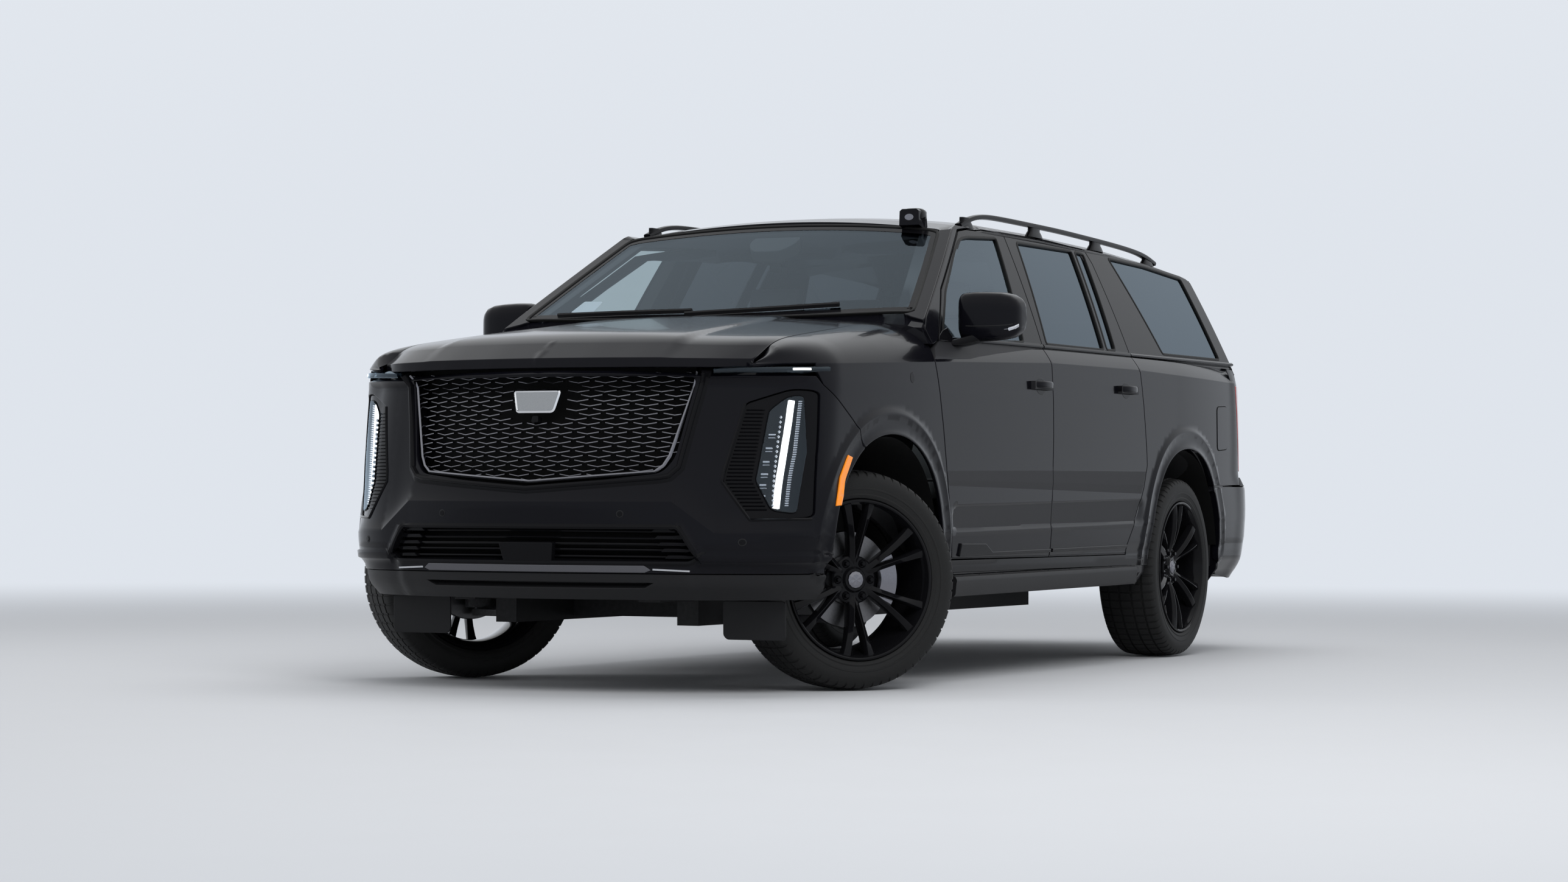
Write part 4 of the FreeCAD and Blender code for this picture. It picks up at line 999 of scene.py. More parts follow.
def nose_u(points):
    """(u, z) right round the nose: past the middle, u runs on down the other side."""
    u, z = points[:, 0], points[:, 1]
    other = u < NOSE_MID
    uu = np.where(other, 2 * NOSE_MID - u, u)
    x, y = side_x(uu, z)
    e = 0.004
    xa, ya = side_x(uu - e, z)
    xb, yb = side_x(uu + e, z)
    size = np.maximum(np.hypot(xb - xa, yb - ya), 1e-9)
    nx, ny = -(yb - ya) / size, (xb - xa) / size
    flip = np.where(nx * x + ny * (y + 1.5) < 0, -1, 1)
    d = relief(x, z, y)
    x, y = x - nx * flip * d, y - ny * flip * d
    return np.stack([np.where(other, -x, x), y, z], 1)


def on_nose(shape):
    """Outline of (x, z) points turned into (u, z) points of the nose surface."""
    shape = np.asarray(shape, float)
    u = u_of_x(shape[:, 0], shape[:, 1])
    return np.stack([np.where(shape[:, 0] < 0, 2 * NOSE_MID - u, u), shape[:, 1]], 1)


def nose(points):
    """(x, z) on the bumper and grille face."""
    return nose_u(on_nose(points))


def deeper(surf, depth):
    """The same surface, further in along its normals."""
    def moved(points):
        p, n, _, _ = frame_of(surf, points)
        return p - n * depth
    return moved


# Panels

def arch_part(arch, lo=-9.0, hi=9.0):
    """Points of a wheel arch between two places along the car."""
    return [p for p in arch if lo < p[0] < hi]


def offset_line(line, distance):
    """Open polyline moved to its left side."""
    line = np.asarray(line, float)
    d = np.gradient(line, axis=0)
    d /= np.hypot(d[:, 0], d[:, 1])[:, None]
    return line + np.stack([-d[:, 1], d[:, 0]], 1) * distance


LIP_ROWS = (0.008, 0.016, 0.050, 0.080, 0.088, 0.102)
FRONT_LIP = [offset_line(FRONT_ARCH, d) for d in LIP_ROWS]
REAR_LIP = [offset_line(REAR_ARCH, d) for d in LIP_ROWS]


def crease_lines(u0, u1):
    """Mesh lines on both sides of the shoulder crease."""
    us = np.linspace(u0, u1, 60)
    z = crease_z(us)
    return [np.stack([us, z - 0.0015], 1), np.stack([us, z + 0.0015], 1)]


def fold_lines(u0, u1):
    """Mesh lines along the folds at the foot of the doors."""
    us = np.linspace(u0, u1, 50)
    lift = TILT * (us - TILT_FROM)
    return [np.stack([us, h + lift], 1) for h in (0.592, 0.597, 0.702, 0.708)]


def make_wings():
    top = [(u, crease_z(u) + CREST) for u in (-1.345, -1.7, -2.1, -2.4, -2.62)]
    ring = ([(-1.235, 0.44), (-1.235, 0.487), (-1.262, 0.600), (-1.440, 1.266), (-1.415, 1.33),
             (-1.38, 1.43)] + top + [(-2.665, 1.30), (-2.67, 1.218), (-2.41, 1.224),
                                     (-2.412, 1.200), (-2.381, 1.143), (-2.164, 1.000),
                                     (-2.11, 0.918)] + arch_part(FRONT_ARCH, lo=-2.1))
    panel("wing", "chassis", "body_paint", ring, wing, "paint", 0.022,
          lines=crease_lines(-2.40, -1.45) + FRONT_LIP,
          replaces=("fender_SIDE",))


# Doors and panes, by (y, z)
FRONT_DOOR_LOW = [(-1.235, 0.492), (-0.172, 0.489), (-0.172, 0.548), (-0.193, 1.372),
                  (-1.0, 1.364), (-1.335, 1.350), (-1.398, 1.322), (-1.440, 1.266),
                  (-1.262, 0.600)]
FRONT_DOOR_TOP = [(-1.335, 1.352), (-1.0, 1.366), (-0.193, 1.374), (-0.131, 1.870),
                  (-0.330, 1.866), (-0.560, 1.858), (-0.650, 1.846), (-1.110, 1.572)]
REAR_DOOR_LOW = [(-0.168, 0.489), (0.766, 0.492), (0.775, 0.530), (0.83, 0.600), (0.905, 0.700),
                 (0.96, 0.790), (0.994, 0.889), (0.892, 1.380), (-0.193, 1.372),
                 (-0.172, 0.548)]
REAR_DOOR_TOP = [(-0.193, 1.374), (0.892, 1.382), (0.870, 1.805), (0.838, 1.868),
                 (0.400, 1.873), (-0.131, 1.870)]
FRONT_PANE = [(-1.271, 1.366), (-1.225, 1.420), (-1.066, 1.567), (-0.80, 1.742), (-0.700, 1.795),
              (-0.641, 1.812), (-0.560, 1.822), (-0.244, 1.840), (-0.400, 1.392)]
REAR_PANE = [(-0.131, 1.396), (-0.010, 1.838), (0.655, 1.846), (0.563, 1.400)]
REAR_SMALL_PANE = [(0.610, 1.402), (0.700, 1.846), (0.800, 1.842), (0.716, 1.404)]
QUARTER_PANE = [(1.360, 1.414), (1.130, 1.844), (1.60, 1.835), (2.081, 1.806), (2.180, 1.420)]
# Rubber round a pane: sideways, outwards
SEAL = [(-0.007, -0.008), (-0.007, 0.0005), (-0.003, 0.003), (0.004, 0.002), (0.007, -0.001),
        (0.007, -0.008)]


def make_doors():
    panel("door_front_skin", "front_SIDE_door", "body_paint", FRONT_DOOR_LOW, side, "paint",
          0.024, lines=crease_lines(-1.44, -0.2) + fold_lines(-1.2, -0.18),
          depth=0.012)
    panel("door_rear_skin", "rear_SIDE_door", "body_paint", REAR_DOOR_LOW, side, "paint",
          0.024, lines=crease_lines(-0.18, 0.9) + fold_lines(-0.16, 0.9) + REAR_LIP,
          depth=0.012)
    panel("door_front_frame", "front_SIDE_door", "trim_black", FRONT_DOOR_TOP, house, "gloss",
          0.03, holes=[rounded(FRONT_PANE, 0.03)], depth=0.03)
    panel("door_rear_frame", "rear_SIDE_door", "trim_black", REAR_DOOR_TOP, house, "gloss",
          0.03, holes=[rounded(REAR_PANE, 0.02), rounded(REAR_SMALL_PANE, 0.012)], depth=0.03)
    tints = (("front", FRONT_PANE, "side_glass", "clear_glass", "glass_front_SIDE"),
             ("rear", REAR_PANE, "privacy_glass", "dark_glass", "glass_rear_SIDE"),
             ("rear", REAR_SMALL_PANE, "privacy_glass", "dark_glass", None))
    for k, (place, ring, kind, slot, node) in enumerate(tints):
        panel(f"pane_{place}_{k}", f"{place}_SIDE_door", slot, ring, deeper(house, 0.007),
              MADE[kind], 0.05, gap=-0.006, roll=0.001, depth=0.003,
              replaces=(node,) if node else ())
        sweep(f"pane_seal_{k}", f"{place}_SIDE_door", "trim_black", house,
              rounded(grown(ring, 0.004), 0.02), SEAL, "seal", closed=True)


def make_quarters():
    door_line = [(0.892, 1.380), (0.994, 0.889), (0.96, 0.790), (0.905, 0.700), (0.83, 0.600),
                 (0.775, 0.530), (0.766, 0.46)]
    ring = (door_line + [(1.038, 0.46)] + arch_part(REAR_ARCH, lo=1.04, hi=1.95)
            + [(1.925, 0.800), (2.347, 0.806), (2.347, 0.87), (2.313, 1.10), (2.297, 1.31),
               (2.29, 1.374), (1.5, 1.384)])
    panel("quarter", "chassis", "body_paint", ring, side, "paint", 0.024,
          lines=crease_lines(0.93, 2.29) + REAR_LIP,
          depth=0.03)
    heights = np.array([1.800, 1.75, 1.70, 1.65, 1.60, 1.55, 1.50, 1.45, 1.42, 1.388])
    behind = back_screen(np.stack([house_x(heights), heights], 1))[:, 1] - 0.003
    ring = ([(0.892, 1.384), (0.870, 1.805), (0.838, 1.870), (1.6, 1.858), (2.10, 1.828),
             (2.19, 1.812)] + list(zip(behind, heights)) + [(1.5, 1.386)])
    panel("pillar_rear", "chassis", "trim_black", ring, house, "gloss", 0.03,
          holes=[rounded(QUARTER_PANE, 0.02)], depth=0.03)
    panel("pane_quarter", "chassis", "dark_glass", QUARTER_PANE, deeper(house, 0.006),
          MADE["privacy_glass"], 0.05, gap=-0.006, roll=0.001, depth=0.003,
          replaces=("fixed_glass",))
    sweep("quarter_seal", "chassis", "trim_black", house,
          rounded(grown(QUARTER_PANE, 0.004), 0.02), SEAL, "seal", closed=True)
    ring = [(-1.405, 1.335), (-1.338, 1.352), (-1.112, 1.576), (-0.655, 1.850), (-0.560, 1.862),
            (-0.50, 1.872), (-0.66, 1.872), (-0.690, 1.862), (-0.958, 1.700), (-1.293, 1.500),
            (-1.375, 1.450), (-1.43, 1.40)]
    panel("pillar_front", "chassis", "body_paint", ring, house, "paint", 0.02, depth=0.03)


def make_roof():
    ring = [(-0.773, -0.720), (-0.7, -0.709), (-0.4, -0.683), (0, -0.670), (0.4, -0.683),
            (0.7, -0.709), (0.773, -0.720), (0.773, 0.4), (0.773, 1.2), (0.770, 1.9),
            (0.755, 2.117), (-0.755, 2.117), (-0.770, 1.9), (-0.773, 1.2), (-0.773, 0.4)]
    panel("roof_skin", "chassis", "body_paint", ring, roof, "paint", 0.035, sides=(1,), gap=0.0,
          depth=0.02)


HOOD_REAR_Y = -1.462


def make_hood():
    corners = [(0.797, -2.45), (0.797, -1.9), (0.786, HOOD_REAR_Y), (0.4, HOOD_REAR_Y),
               (0.0, HOOD_REAR_Y)]
    left = [(0.790, 0.004), (0.794, 0.06)] + [(x, hood_v(x, y)) for x, y in corners]
    ring = [(0.0, 0.004)] + left + [(-x, w) for x, w in left[-2::-1]]
    rows = [[(-0.78, w), (0.78, w)] for w in (0.040, 0.044, 0.122, 0.128)]
    panel("hood_skin", "hood_lid", "body_paint", ring, hood, "paint", 0.024, lines=rows,
          sides=(1,), replaces=("hood",), gap=0.001)


# Openings in the nose, by (x, z)
GRILLE_HOLE = [(-0.515, 0.815), (0, 0.760), (0.515, 0.815), (0.560, 0.868), (0.618, 1.168),
               (-0.618, 1.168), (-0.560, 0.868)]
LAMP_RING = [(0.792, 1.072), (0.930, 1.128), (0.978, 1.122), (0.985, 0.90), (0.982, 0.655),
             (0.930, 0.650), (0.823, 0.646), (0.727, 0.785), (0.732, 0.82)]
INTAKE = [(-0.625, 0.486), (0.625, 0.486), (0.655, 0.505), (0.585, 0.619), (-0.585, 0.619),
          (-0.655, 0.505)]
VALANCE_Z = 0.449


def make_bumper():
    mid = NOSE_MID
    half = ([(mid, VALANCE_Z)] + [(u, VALANCE_Z) for u in (-3.2, -2.9, -2.6, -2.365)]
            + [p for p in arch_part(FRONT_ARCH, hi=-2.1) if p[1] > 0.53]
            + [(-2.11, 0.918), (-2.164, 1.000), (-2.381, 1.143), (-2.412, 1.176)]
            + list(map(tuple, on_nose([(0.90, 1.172), (0.75, 1.170), (0.66, 1.168)])))
            + [(mid + 0.3, 1.180), (mid, 1.182)])
    other = across_middle(half[-2:0:-1], mid)
    rows = []
    for table, shifts in ((FOLD, (-0.002, 0.002)), (STRIP, (-0.003, 0.003, -0.028, -0.034))):
        line = resampled([(x, z) for x, z in table if x < 0.99], 0.02, closed=False)
        for shift in shifts:
            row = on_nose(line + [0, shift])
            rows += [row, across_middle(row, mid)]
    for h in (0.448, 0.452, 0.476, 0.480):
        row = on_nose([(x, h) for x in np.linspace(0.0, 0.60, 30)])
        rows += [row, across_middle(row, mid)]
    lamp = on_nose(rounded(LAMP_RING, 0.02))
    holes = [on_nose(rounded(GRILLE_HOLE, 0.03)), lamp, across_middle(lamp, mid),
             on_nose(rounded(INTAKE, 0.01))]
    rows += FRONT_LIP + [across_middle(row, mid) for row in FRONT_LIP]
    panel("bumper_skin", "chassis", "body_paint", half + list(other), nose_u, "paint", 0.020,
          lines=rows, holes=holes, sides=(1,), replaces=("front_bumper",), gap=0.0, depth=0.02)


# Nose details

def make_valance():
    mid = NOSE_MID
    half = ([(mid, 0.345)] + [(u, 0.345) for u in (-3.2, -2.9, -2.6, -2.345)]
            + [(-2.338, 0.40), (-2.350, 0.447), (-2.9, 0.447), (-3.3, 0.447), (mid, 0.447)])
    ring = half + list(across_middle(half[-2:0:-1], mid))
    slot = [(mid - 0.42, 0.392), (mid + 0.42, 0.392), (mid + 0.45, 0.412), (mid - 0.45, 0.412)]
    panel("valance", "chassis", "trim_black", ring, deeper(nose_u, 0.006), "matte", 0.022,
          sides=(1,), holes=[slot], gap=0.001, depth=0.03)
    # Near-black sheet behind the nose skin: painted shade behind the grille and the intake, and in
    # the slit under the bonnet lip.
    ring = [(u, 0.36) for u in np.linspace(-2.5, 2 * mid + 2.5, 40)]
    back = [(u, 1.215) for u, _ in ring[::-1]]
    panel("nose_shade_sheet", "chassis", "trim_black", ring + back, deeper(nose_u, 0.085), "liner_and_shade",
          0.05, sides=(1,), gap=0.0, depth=0.005)
    for x, z in ((0.377, 0.666), (0.80, 0.565)):
        place = int(x * 1000)
        panel(f"sensor_ring_{place}", "chassis", "trim_black", on_nose(circle(x, z, 0.014, 19)),
              nose_u, "matte", 0.01, offset=0.0015, roll=0.0015, gap=0, depth=0.006)
        panel(f"sensor_face_{place}", "chassis", "body_paint", on_nose(circle(x, z, 0.010, 19)),
              nose_u, "gloss", 0.01, offset=0.0032, roll=0.001, gap=0, depth=0.004)


SURROUND = [(0.0, 0.753), (0.28, 0.774), (0.510, 0.793), (0.545, 0.800), (0.580, 0.835),
            (0.612, 1.00), (0.650, 1.186)]


# Grille mesh: column and row pitch, half width and droop of a link, its thickness and depth
MESH_PITCH_X, MESH_PITCH_Z, MESH_FOOT_Z = 0.054, 0.0345, 0.790
LINK_ARM, LINK_DROP, LINK_THICK, LINK_DEEP = 0.043, 0.0036, 0.0017, 0.018
LINK_AHEAD, MESH_BEHIND = 0.006, 0.022


def link_halves(x0, z0, edge):
    """The two bars of a shallow V link, each cut in half where it leaves the opening."""
    tips = [(x0 - LINK_ARM, z0 + LINK_DROP, 0.0), (x0, z0 - LINK_DROP, LINK_AHEAD),
            (x0 + LINK_ARM, z0 + LINK_DROP, 0.0)]
    inside = within([tip[:2] for tip in tips], edge)
    for (xa, za, fa), (xb, zb, fb), ok in ((tips[0], tips[1], inside[0]),
                                           (tips[1], tips[2], inside[2])):
        if not ok and inside[0]:
            xb, zb = (xa + xb) / 2, (za + zb) / 2
        elif not ok and within([(xb, zb)], edge)[0]:
            xa, za = (xa + xb) / 2, (za + zb) / 2
        elif not ok:
            continue
        yield (xa, za, fa), (xb, zb, fb)


def make_mesh(edge):
    """Staggered rows of links, with room for the badge."""
    verts, polys = [], []
    for col in range(-12, 13):
        for row in range(14):
            x0 = col * MESH_PITCH_X
            z0 = MESH_FOOT_Z + row * MESH_PITCH_Z + (MESH_PITCH_Z / 2 if col % 2 else 0)
            by_badge = abs(x0) < 0.142 and 1.005 < z0 < 1.145
            if by_badge or not within([(x0, z0)], edge)[0]:
                continue
            for bar in link_halves(x0, z0, edge):
                at = len(verts)
                skin = nose(np.array([end[:2] for end in bar]))
                for p, (_, _, ahead) in zip(skin, bar):
                    q = p + np.array([0, MESH_BEHIND - ahead, 0])
                    verts += [q + np.array([0, back, up]) for up, back in (
                        (LINK_THICK, 0.001), (0, 0), (-LINK_THICK, 0.001),
                        (-0.6 * LINK_THICK, LINK_DEEP), (0.6 * LINK_THICK, LINK_DEEP))]
                polys += [(at + i, at + 5 + i, at + 5 + (i + 1) % 5, at + (i + 1) % 5)
                          for i in range(5)]
                polys += [tuple(range(at, at + 5)), tuple(range(at + 5, at + 10))[::-1]]
    obj = both_sides("grille_mesh", "chassis", "grille_black", np.array(verts), polys,
                     "dark_chrome", sides=(1,))[0]
    sharpen(obj)


def make_grille():
    half = on_nose(SURROUND)
    path = np.concatenate([across_middle(half[::-1], NOSE_MID)[:-1], half])
    shape = [(-0.022, -0.030), (-0.022, -0.004), (-0.018, 0.000), (-0.004, 0.003),
             (0.000, 0.010), (0.004, 0.012), (0.012, 0.010), (0.015, 0.004), (0.016, -0.030)]
    sweep("grille_surround", "chassis", "grille_black", nose_u, path, shape, "gloss",
          sides=(1,), spacing=0.015, replaces=("grille",))
    inner = np.array([(0.0, 0.786), (0.49, 0.822), (0.520, 0.845), (0.540, 0.88), (0.622, 1.182)])
    half = on_nose(inner)
    path = np.concatenate([across_middle(half[::-1], NOSE_MID)[:-1], half])
    sweep("grille_inner_edge", "chassis", "grille_black", deeper(nose_u, 0.010), path,
          [(-0.006, -0.03), (-0.006, 0.0), (0.0, 0.004), (0.006, 0.0), (0.006, -0.03)],
          "dark_chrome", sides=(1,), spacing=0.015)
    edge = np.concatenate([np.array([(-x, z) for x, z in inner[::-1]])[:-1], inner,
                           [(0.622, 1.19), (-0.622, 1.19)]])
    make_mesh(edge)
    badge = rounded([(-0.098, 1.118), (0.098, 1.118), (0.078, 1.043), (-0.078, 1.043)], 0.012)
    panel("badge_blank", "chassis", "grille_black", on_nose(badge), nose_u, "badge", 0.012,
          sides=(1,), offset=0.004, roll=0.003, depth=0.03)
    sweep("badge_rim", "chassis", "grille_black", nose_u, on_nose(badge),
          [(-0.004, -0.02), (-0.005, 0.003), (0, 0.008), (0.006, 0.003), (0.006, -0.02)],
          "chrome", closed=True, sides=(1,), spacing=0.01)
    eye = [(-0.018, 1.002), (0.018, 1.002), (0.014, 1.030), (-0.014, 1.030)]
    panel("front_camera", "chassis", "trim_black", on_nose(rounded(eye, 0.006)), nose_u,
          "gloss", 0.01, sides=(1,), offset=-0.004, roll=0.002, depth=0.03)


def make_intake():
    deep = deeper(nose_u, 0.030)
    for k, z in enumerate((0.603, 0.578, 0.553, 0.528, 0.503)):
        end = 0.588 + k * 0.012
        path = on_nose([(x, z) for x in np.linspace(-end, end, 60)])
        sweep(f"intake_bar_{k}", "chassis", "grille_black", deep, path,
              [(-0.0035, -0.022), (-0.004, 0.0), (0.0, 0.002), (0.004, 0.0), (0.0035, -0.022)],
              "gloss", sides=(1,), spacing=0.03)
        tip = [(end - 0.105, z - 0.004), (end - 0.090, z + 0.010), (end + 0.012, z + 0.010),
               (end + 0.020, z - 0.004)]
        panel(f"intake_louvre_{k}", "chassis", "grille_black", on_nose(tip),
              deeper(nose_u, 0.014), "gloss", 0.012, roll=0.003, gap=0, depth=0.02)
    sweep("intake_frame", "chassis", "trim_black", nose_u, on_nose(rounded(INTAKE, 0.015)),
          [(-0.010, -0.04), (-0.010, 0.001), (0.0, 0.004), (0.008, 0.001), (0.008, -0.04)],
          "gloss", closed=True, sides=(1,), spacing=0.02)
    plate = rounded([(-0.100, 0.462), (0.100, 0.462), (0.118, 0.563), (-0.118, 0.563)], 0.012)
    panel("plate_bracket", "chassis", "trim_black", on_nose(plate), nose_u, "gloss", 0.015,
          sides=(1,), offset=0.002, roll=0.004, depth=0.03)
    strip = [(-0.484, 0.462), (-0.459, 0.452), (0.459, 0.452), (0.484, 0.462), (0.459, 0.479),
             (-0.459, 0.479)]
    panel("skid_strip", "chassis", "grille_black", on_nose(strip), nose_u, "satin_dark", 0.02,
          sides=(1,), offset=0.003, roll=0.003, depth=0.012, gap=0)
    line = on_nose([(x, 0.465 - 0.006 * (x - 0.484) / 0.141) for x in np.linspace(0.49, 0.622, 9)])
    sweep("skid_line", "chassis", "grille_black", nose_u, line,
          [(-0.003, -0.006), (-0.003, 0.002), (0.003, 0.002), (0.003, -0.006)], "satin",
          spacing=0.02)


# Front lamps

LENS = [(0.873, 1.045), (0.919, 1.097), (0.949, 1.103), (0.966, 0.893), (0.948, 0.672),
        (0.889, 0.684), (0.842, 0.790)]


def bar_on_nose(name, line, shape, kind, slot, sunk=0.0, spacing=0.015, **more):
    """Profile run along (x, z) points of the nose, some way behind the skin."""
    return sweep(name, "chassis", slot, deeper(nose_u, sunk), on_nose(line), shape, kind,
                 spacing=spacing, **more)


BLOCK_FACES = ((0, 1, 3, 2), (4, 6, 7, 5), (0, 4, 5, 1), (2, 3, 7, 6), (0, 2, 6, 4),
               (1, 5, 7, 3))


def make_lamp_modules():
    """Rows of small reflector blocks behind the lens."""
    verts, polys = [], []

    def block(x, z, sunk, half_w, half_h, half_d, turned=False):
        p, n, ta, _ = frame_of(deeper(nose_u, sunk), on_nose([(x, z)]))
        across, up = ta[0] / np.linalg.norm(ta[0]), np.array([0, 0, 1.0])
        if turned:
            across, up = (across + up) / 1.414, (up - across) / 1.414
        at = len(verts)
        verts.extend(p[0] + across * sx * half_w + up * sz * half_h + n[0] * sy * half_d
                     for sx in (-1, 1) for sz in (-1, 1) for sy in (-1, 1))
        polys.extend(tuple(at + i for i in f) for f in BLOCK_FACES)

    for z in np.arange(0.70, 1.085, 0.0085):
        x = line_at(z, [(0.69, 0.928), (0.89, 0.944), (1.09, 0.946)])
        block(x, z, 0.020, 0.008, 0.003, 0.008)
    for z, x in ((0.735, 0.862), (0.775, 0.864), (0.815, 0.868), (0.86, 0.872), (0.91, 0.878),
                 (0.96, 0.884)):
        block(x, z, 0.022, 0.014, 0.0035, 0.010)
        block(x, z - 0.012, 0.022, 0.014, 0.002, 0.010)
    for z in np.arange(0.70, 1.03, 0.018):
        x = line_at(z, [(0.70, 0.893), (1.03, 0.905)])
        block(x, z, 0.020, 0.0045, 0.0045, 0.008, turned=True)
    for obj in both_sides("lamp_modules", "chassis", "clear_lamp", np.array(verts), polys,
                          "reflector", smooth_faces=False):
        bevelled(obj, 0.0015, 1)


def make_lamps():
    panel("lamp_frame", "chassis", "clear_lamp", on_nose(rounded(LAMP_RING, 0.02)),
          deeper(nose_u, 0.010), "gloss", 0.014, holes=[on_nose(rounded(LENS, 0.015))],
          gap=0.002, depth=0.03, replaces=("headlamps",))
    for k, z in enumerate(np.arange(0.682, 1.06, 0.0135)):
        left = line_at(z, [(0.646, 0.835), (0.785, 0.740), (0.823, 0.745), (1.072, 0.805)])
        right = line_at(z, [(0.684, 0.875), (0.790, 0.828), (1.045, 0.858), (1.10, 0.90)])
        if right - left > 0.015:
            bar_on_nose(f"lamp_slat_{k}", [(left, z), (right, z)],
                        [(-0.0045, -0.004), (0.004, 0.0055), (0.0045, -0.004)], "gloss",
                        "trim_black", 0.010)
    groove = [(0.792, 1.072), (0.732, 0.823), (0.727, 0.785), (0.823, 0.646), (0.975, 0.650)]
    bar_on_nose("lamp_groove", groove,
                [(-0.005, -0.02), (-0.005, 0.002), (0.0, 0.006), (0.005, 0.002), (0.005, -0.02)],
                "gloss", "trim_black", 0.0)
    bucket = on_nose(rounded(LENS, 0.015))
    panel("lamp_back", "chassis", "clear_lamp", bucket, deeper(nose_u, 0.045), "gloss", 0.02,
          gap=-0.004, depth=0.01)
    sweep("lamp_wall", "chassis", "clear_lamp", nose_u, bucket,
          [(0.0, -0.046), (0.0, -0.008), (0.003, -0.006), (0.003, -0.046)], "gloss",
          closed=True, spacing=0.012)
    panel("lamp_lens", "chassis", "clear_lamp", bucket, deeper(nose_u, 0.004),
          MADE["lens_glass"], 0.02, gap=-0.001, roll=0.002, depth=0.004)
    bright = [(0.929, 1.086), (0.926, 0.99), (0.921, 0.89), (0.914, 0.79), (0.906, 0.692)]
    bar_on_nose("lamp_day_bar", bright,
                [(-0.011, -0.02), (-0.011, -0.004), (-0.006, 0.0), (0.006, 0.0),
                 (0.011, -0.004), (0.011, -0.02)], "drl_glow_and_glint", "clear_lamp", 0.016)
    make_lamp_modules()
    upper = [(0.678, 1.186), (0.80, 1.192), (0.90, 1.197), (0.960, 1.200), (0.990, 1.204)]
    bar_on_nose("lamp_strip", upper,
                [(-0.010, -0.02), (-0.010, 0.0), (-0.004, 0.004), (0.004, 0.004), (0.010, 0.0),
                 (0.010, -0.02)], MADE["strip_glass"], "clear_lamp", 0.001)
    # Short glowing white bar on the outer end of the lamp strip: a painted glint.
    bar_on_nose("lamp_strip_glint", [(0.915, 1.198), (0.955, 1.200)],
                [(-0.004, -0.004), (-0.004, 0.001), (0.004, 0.001), (0.004, -0.004)], "drl_glow_and_glint",
                "clear_lamp", -0.0045)
    marker = [(-2.330, 0.698), (-2.302, 0.700), (-2.262, 0.798), (-2.208, 0.880),
              (-2.240, 0.888), (-2.296, 0.806)]
    panel("side_marker", "chassis", "clear_lamp", marker, side, "amber", 0.01, offset=0.006,
          roll=0.003, gap=0, depth=0.008)
    panel("wing_cap", "chassis", "trim_black", circle(-1.668, 1.195, 0.022, 24), side, "gloss",
          0.012, offset=0.001, roll=0.003, gap=0, depth=0.006)


# Wheels and tyres

STEER = math.radians(-37.4)
KING_X, FRONT_Y, REAR_Y, WHEEL_X, WHEEL_Z = 0.80, -1.878, 1.529, 0.869, 0.419
SPOKE_PAIRS, TREAD_BLOCKS, NUTS = 6, 66, 6


def wheel_frame(place, word):
    """Centre of a wheel and its outward, forward and up directions."""
    k = 1 if word == "left" else -1
    if place == "front":
        c, s = math.cos(STEER), math.sin(STEER)
        off = (WHEEL_X - KING_X) * k
        centre = np.array([KING_X * k + off * c, FRONT_Y + off * s, WHEEL_Z])
    else:
        c, s = 1.0, 0.0
        centre = np.array([WHEEL_X * k, REAR_Y, WHEEL_Z])
    out = np.array([c * k, s * k, 0.0])
    return centre, out, np.array([-s * k, c * k, 0.0])


def placed(points, where):
    """Wheel points (outward, along, up) in the car's frame."""
    centre, out, along = where
    points = np.asarray(points, float)
    return (centre + points[:, :1] * out + points[:, 1:2] * along
            + points[:, 2:] * np.array([0, 0, 1.0]))


def round_points(rows):
    """Points of (angle, row) pairs, with (outward, radius) points in each row."""
    verts = []
    for angle, row in rows:
        c, s = math.cos(angle), math.sin(angle)
        verts += [(x, r * c, r * s) for x, r in row]
    return np.array(verts)


def turned(row, n, closed=False):
    """Mesh of one row of (outward, radius) points spun round the axle in n steps."""
    verts = round_points([(2 * math.pi * k / n, row) for k in range(n)])
    return verts, tube_faces(len(row), n, wrap=closed, loop=True)


def tyre_mesh():
    """Tyre skin: ribbed walls, and a tread cut across between its blocks."""
    side_in = [(0.118, 0.3055), (0.130, 0.310), (0.1345, 0.318), (0.1365, 0.322),
               (0.1345, 0.327), (0.1385, 0.342), (0.1400, 0.343), (0.1402, 0.348),
               (0.1390, 0.350), (0.1400, 0.366), (0.1370, 0.382), (0.1330, 0.390)]
    shoulder = [(0.1300, 0.3985), (0.1240, 0.4050), (0.1150, 0.4100), (0.0860, 0.4145)]
    tread = [(0.0850, 0.4080), (0.0770, 0.4080), (0.0760, 0.4160), (0.0340, 0.4180),
             (0.0330, 0.4110), (0.0240, 0.4110), (0.0230, 0.4185)]
    half = side_in + shoulder + tread
    full = half + [(-x, r) for x, r in half[::-1]]
    names = (["side"] * len(side_in) + ["shoulder"] * len(shoulder) + ["tread"] * len(tread))
    names += names[::-1]
    rows = []
    for b in range(TREAD_BLOCKS):
        for t, low in ((0.0, 0), (0.74, 0), (0.78, 1), (0.96, 1)):
            row = []
            for (x, r), kind in zip(full, names):
                cut = 0
                if low and kind == "shoulder" and r < 0.4145:
                    cut = 0.0045
                elif low and kind != "side" and r > 0.4140:
                    cut = 0.0035
                row.append((x, r - cut))
            rows.append(((b + t) * 2 * math.pi / TREAD_BLOCKS, row))
    return round_points(rows), tube_faces(len(full), len(rows), wrap=False, loop=True)


def rim_mesh():
    row = [(0.114, 0.3050), (0.127, 0.3065), (0.1345, 0.3045), (0.1360, 0.2990), (0.1330, 0.2945),
           (0.1260, 0.2925), (0.1180, 0.2880), (0.1000, 0.2840), (0.0700, 0.2780),
           (0.0200, 0.2700), (-0.0400, 0.2660), (-0.0900, 0.2700), (-0.1180, 0.2860),
           (-0.1320, 0.2980), (-0.1330, 0.3045), (-0.1180, 0.3050), (-0.1000, 0.2900),
           (0.0000, 0.2820), (0.0900, 0.2920)]
    return turned(row, 96, closed=True)


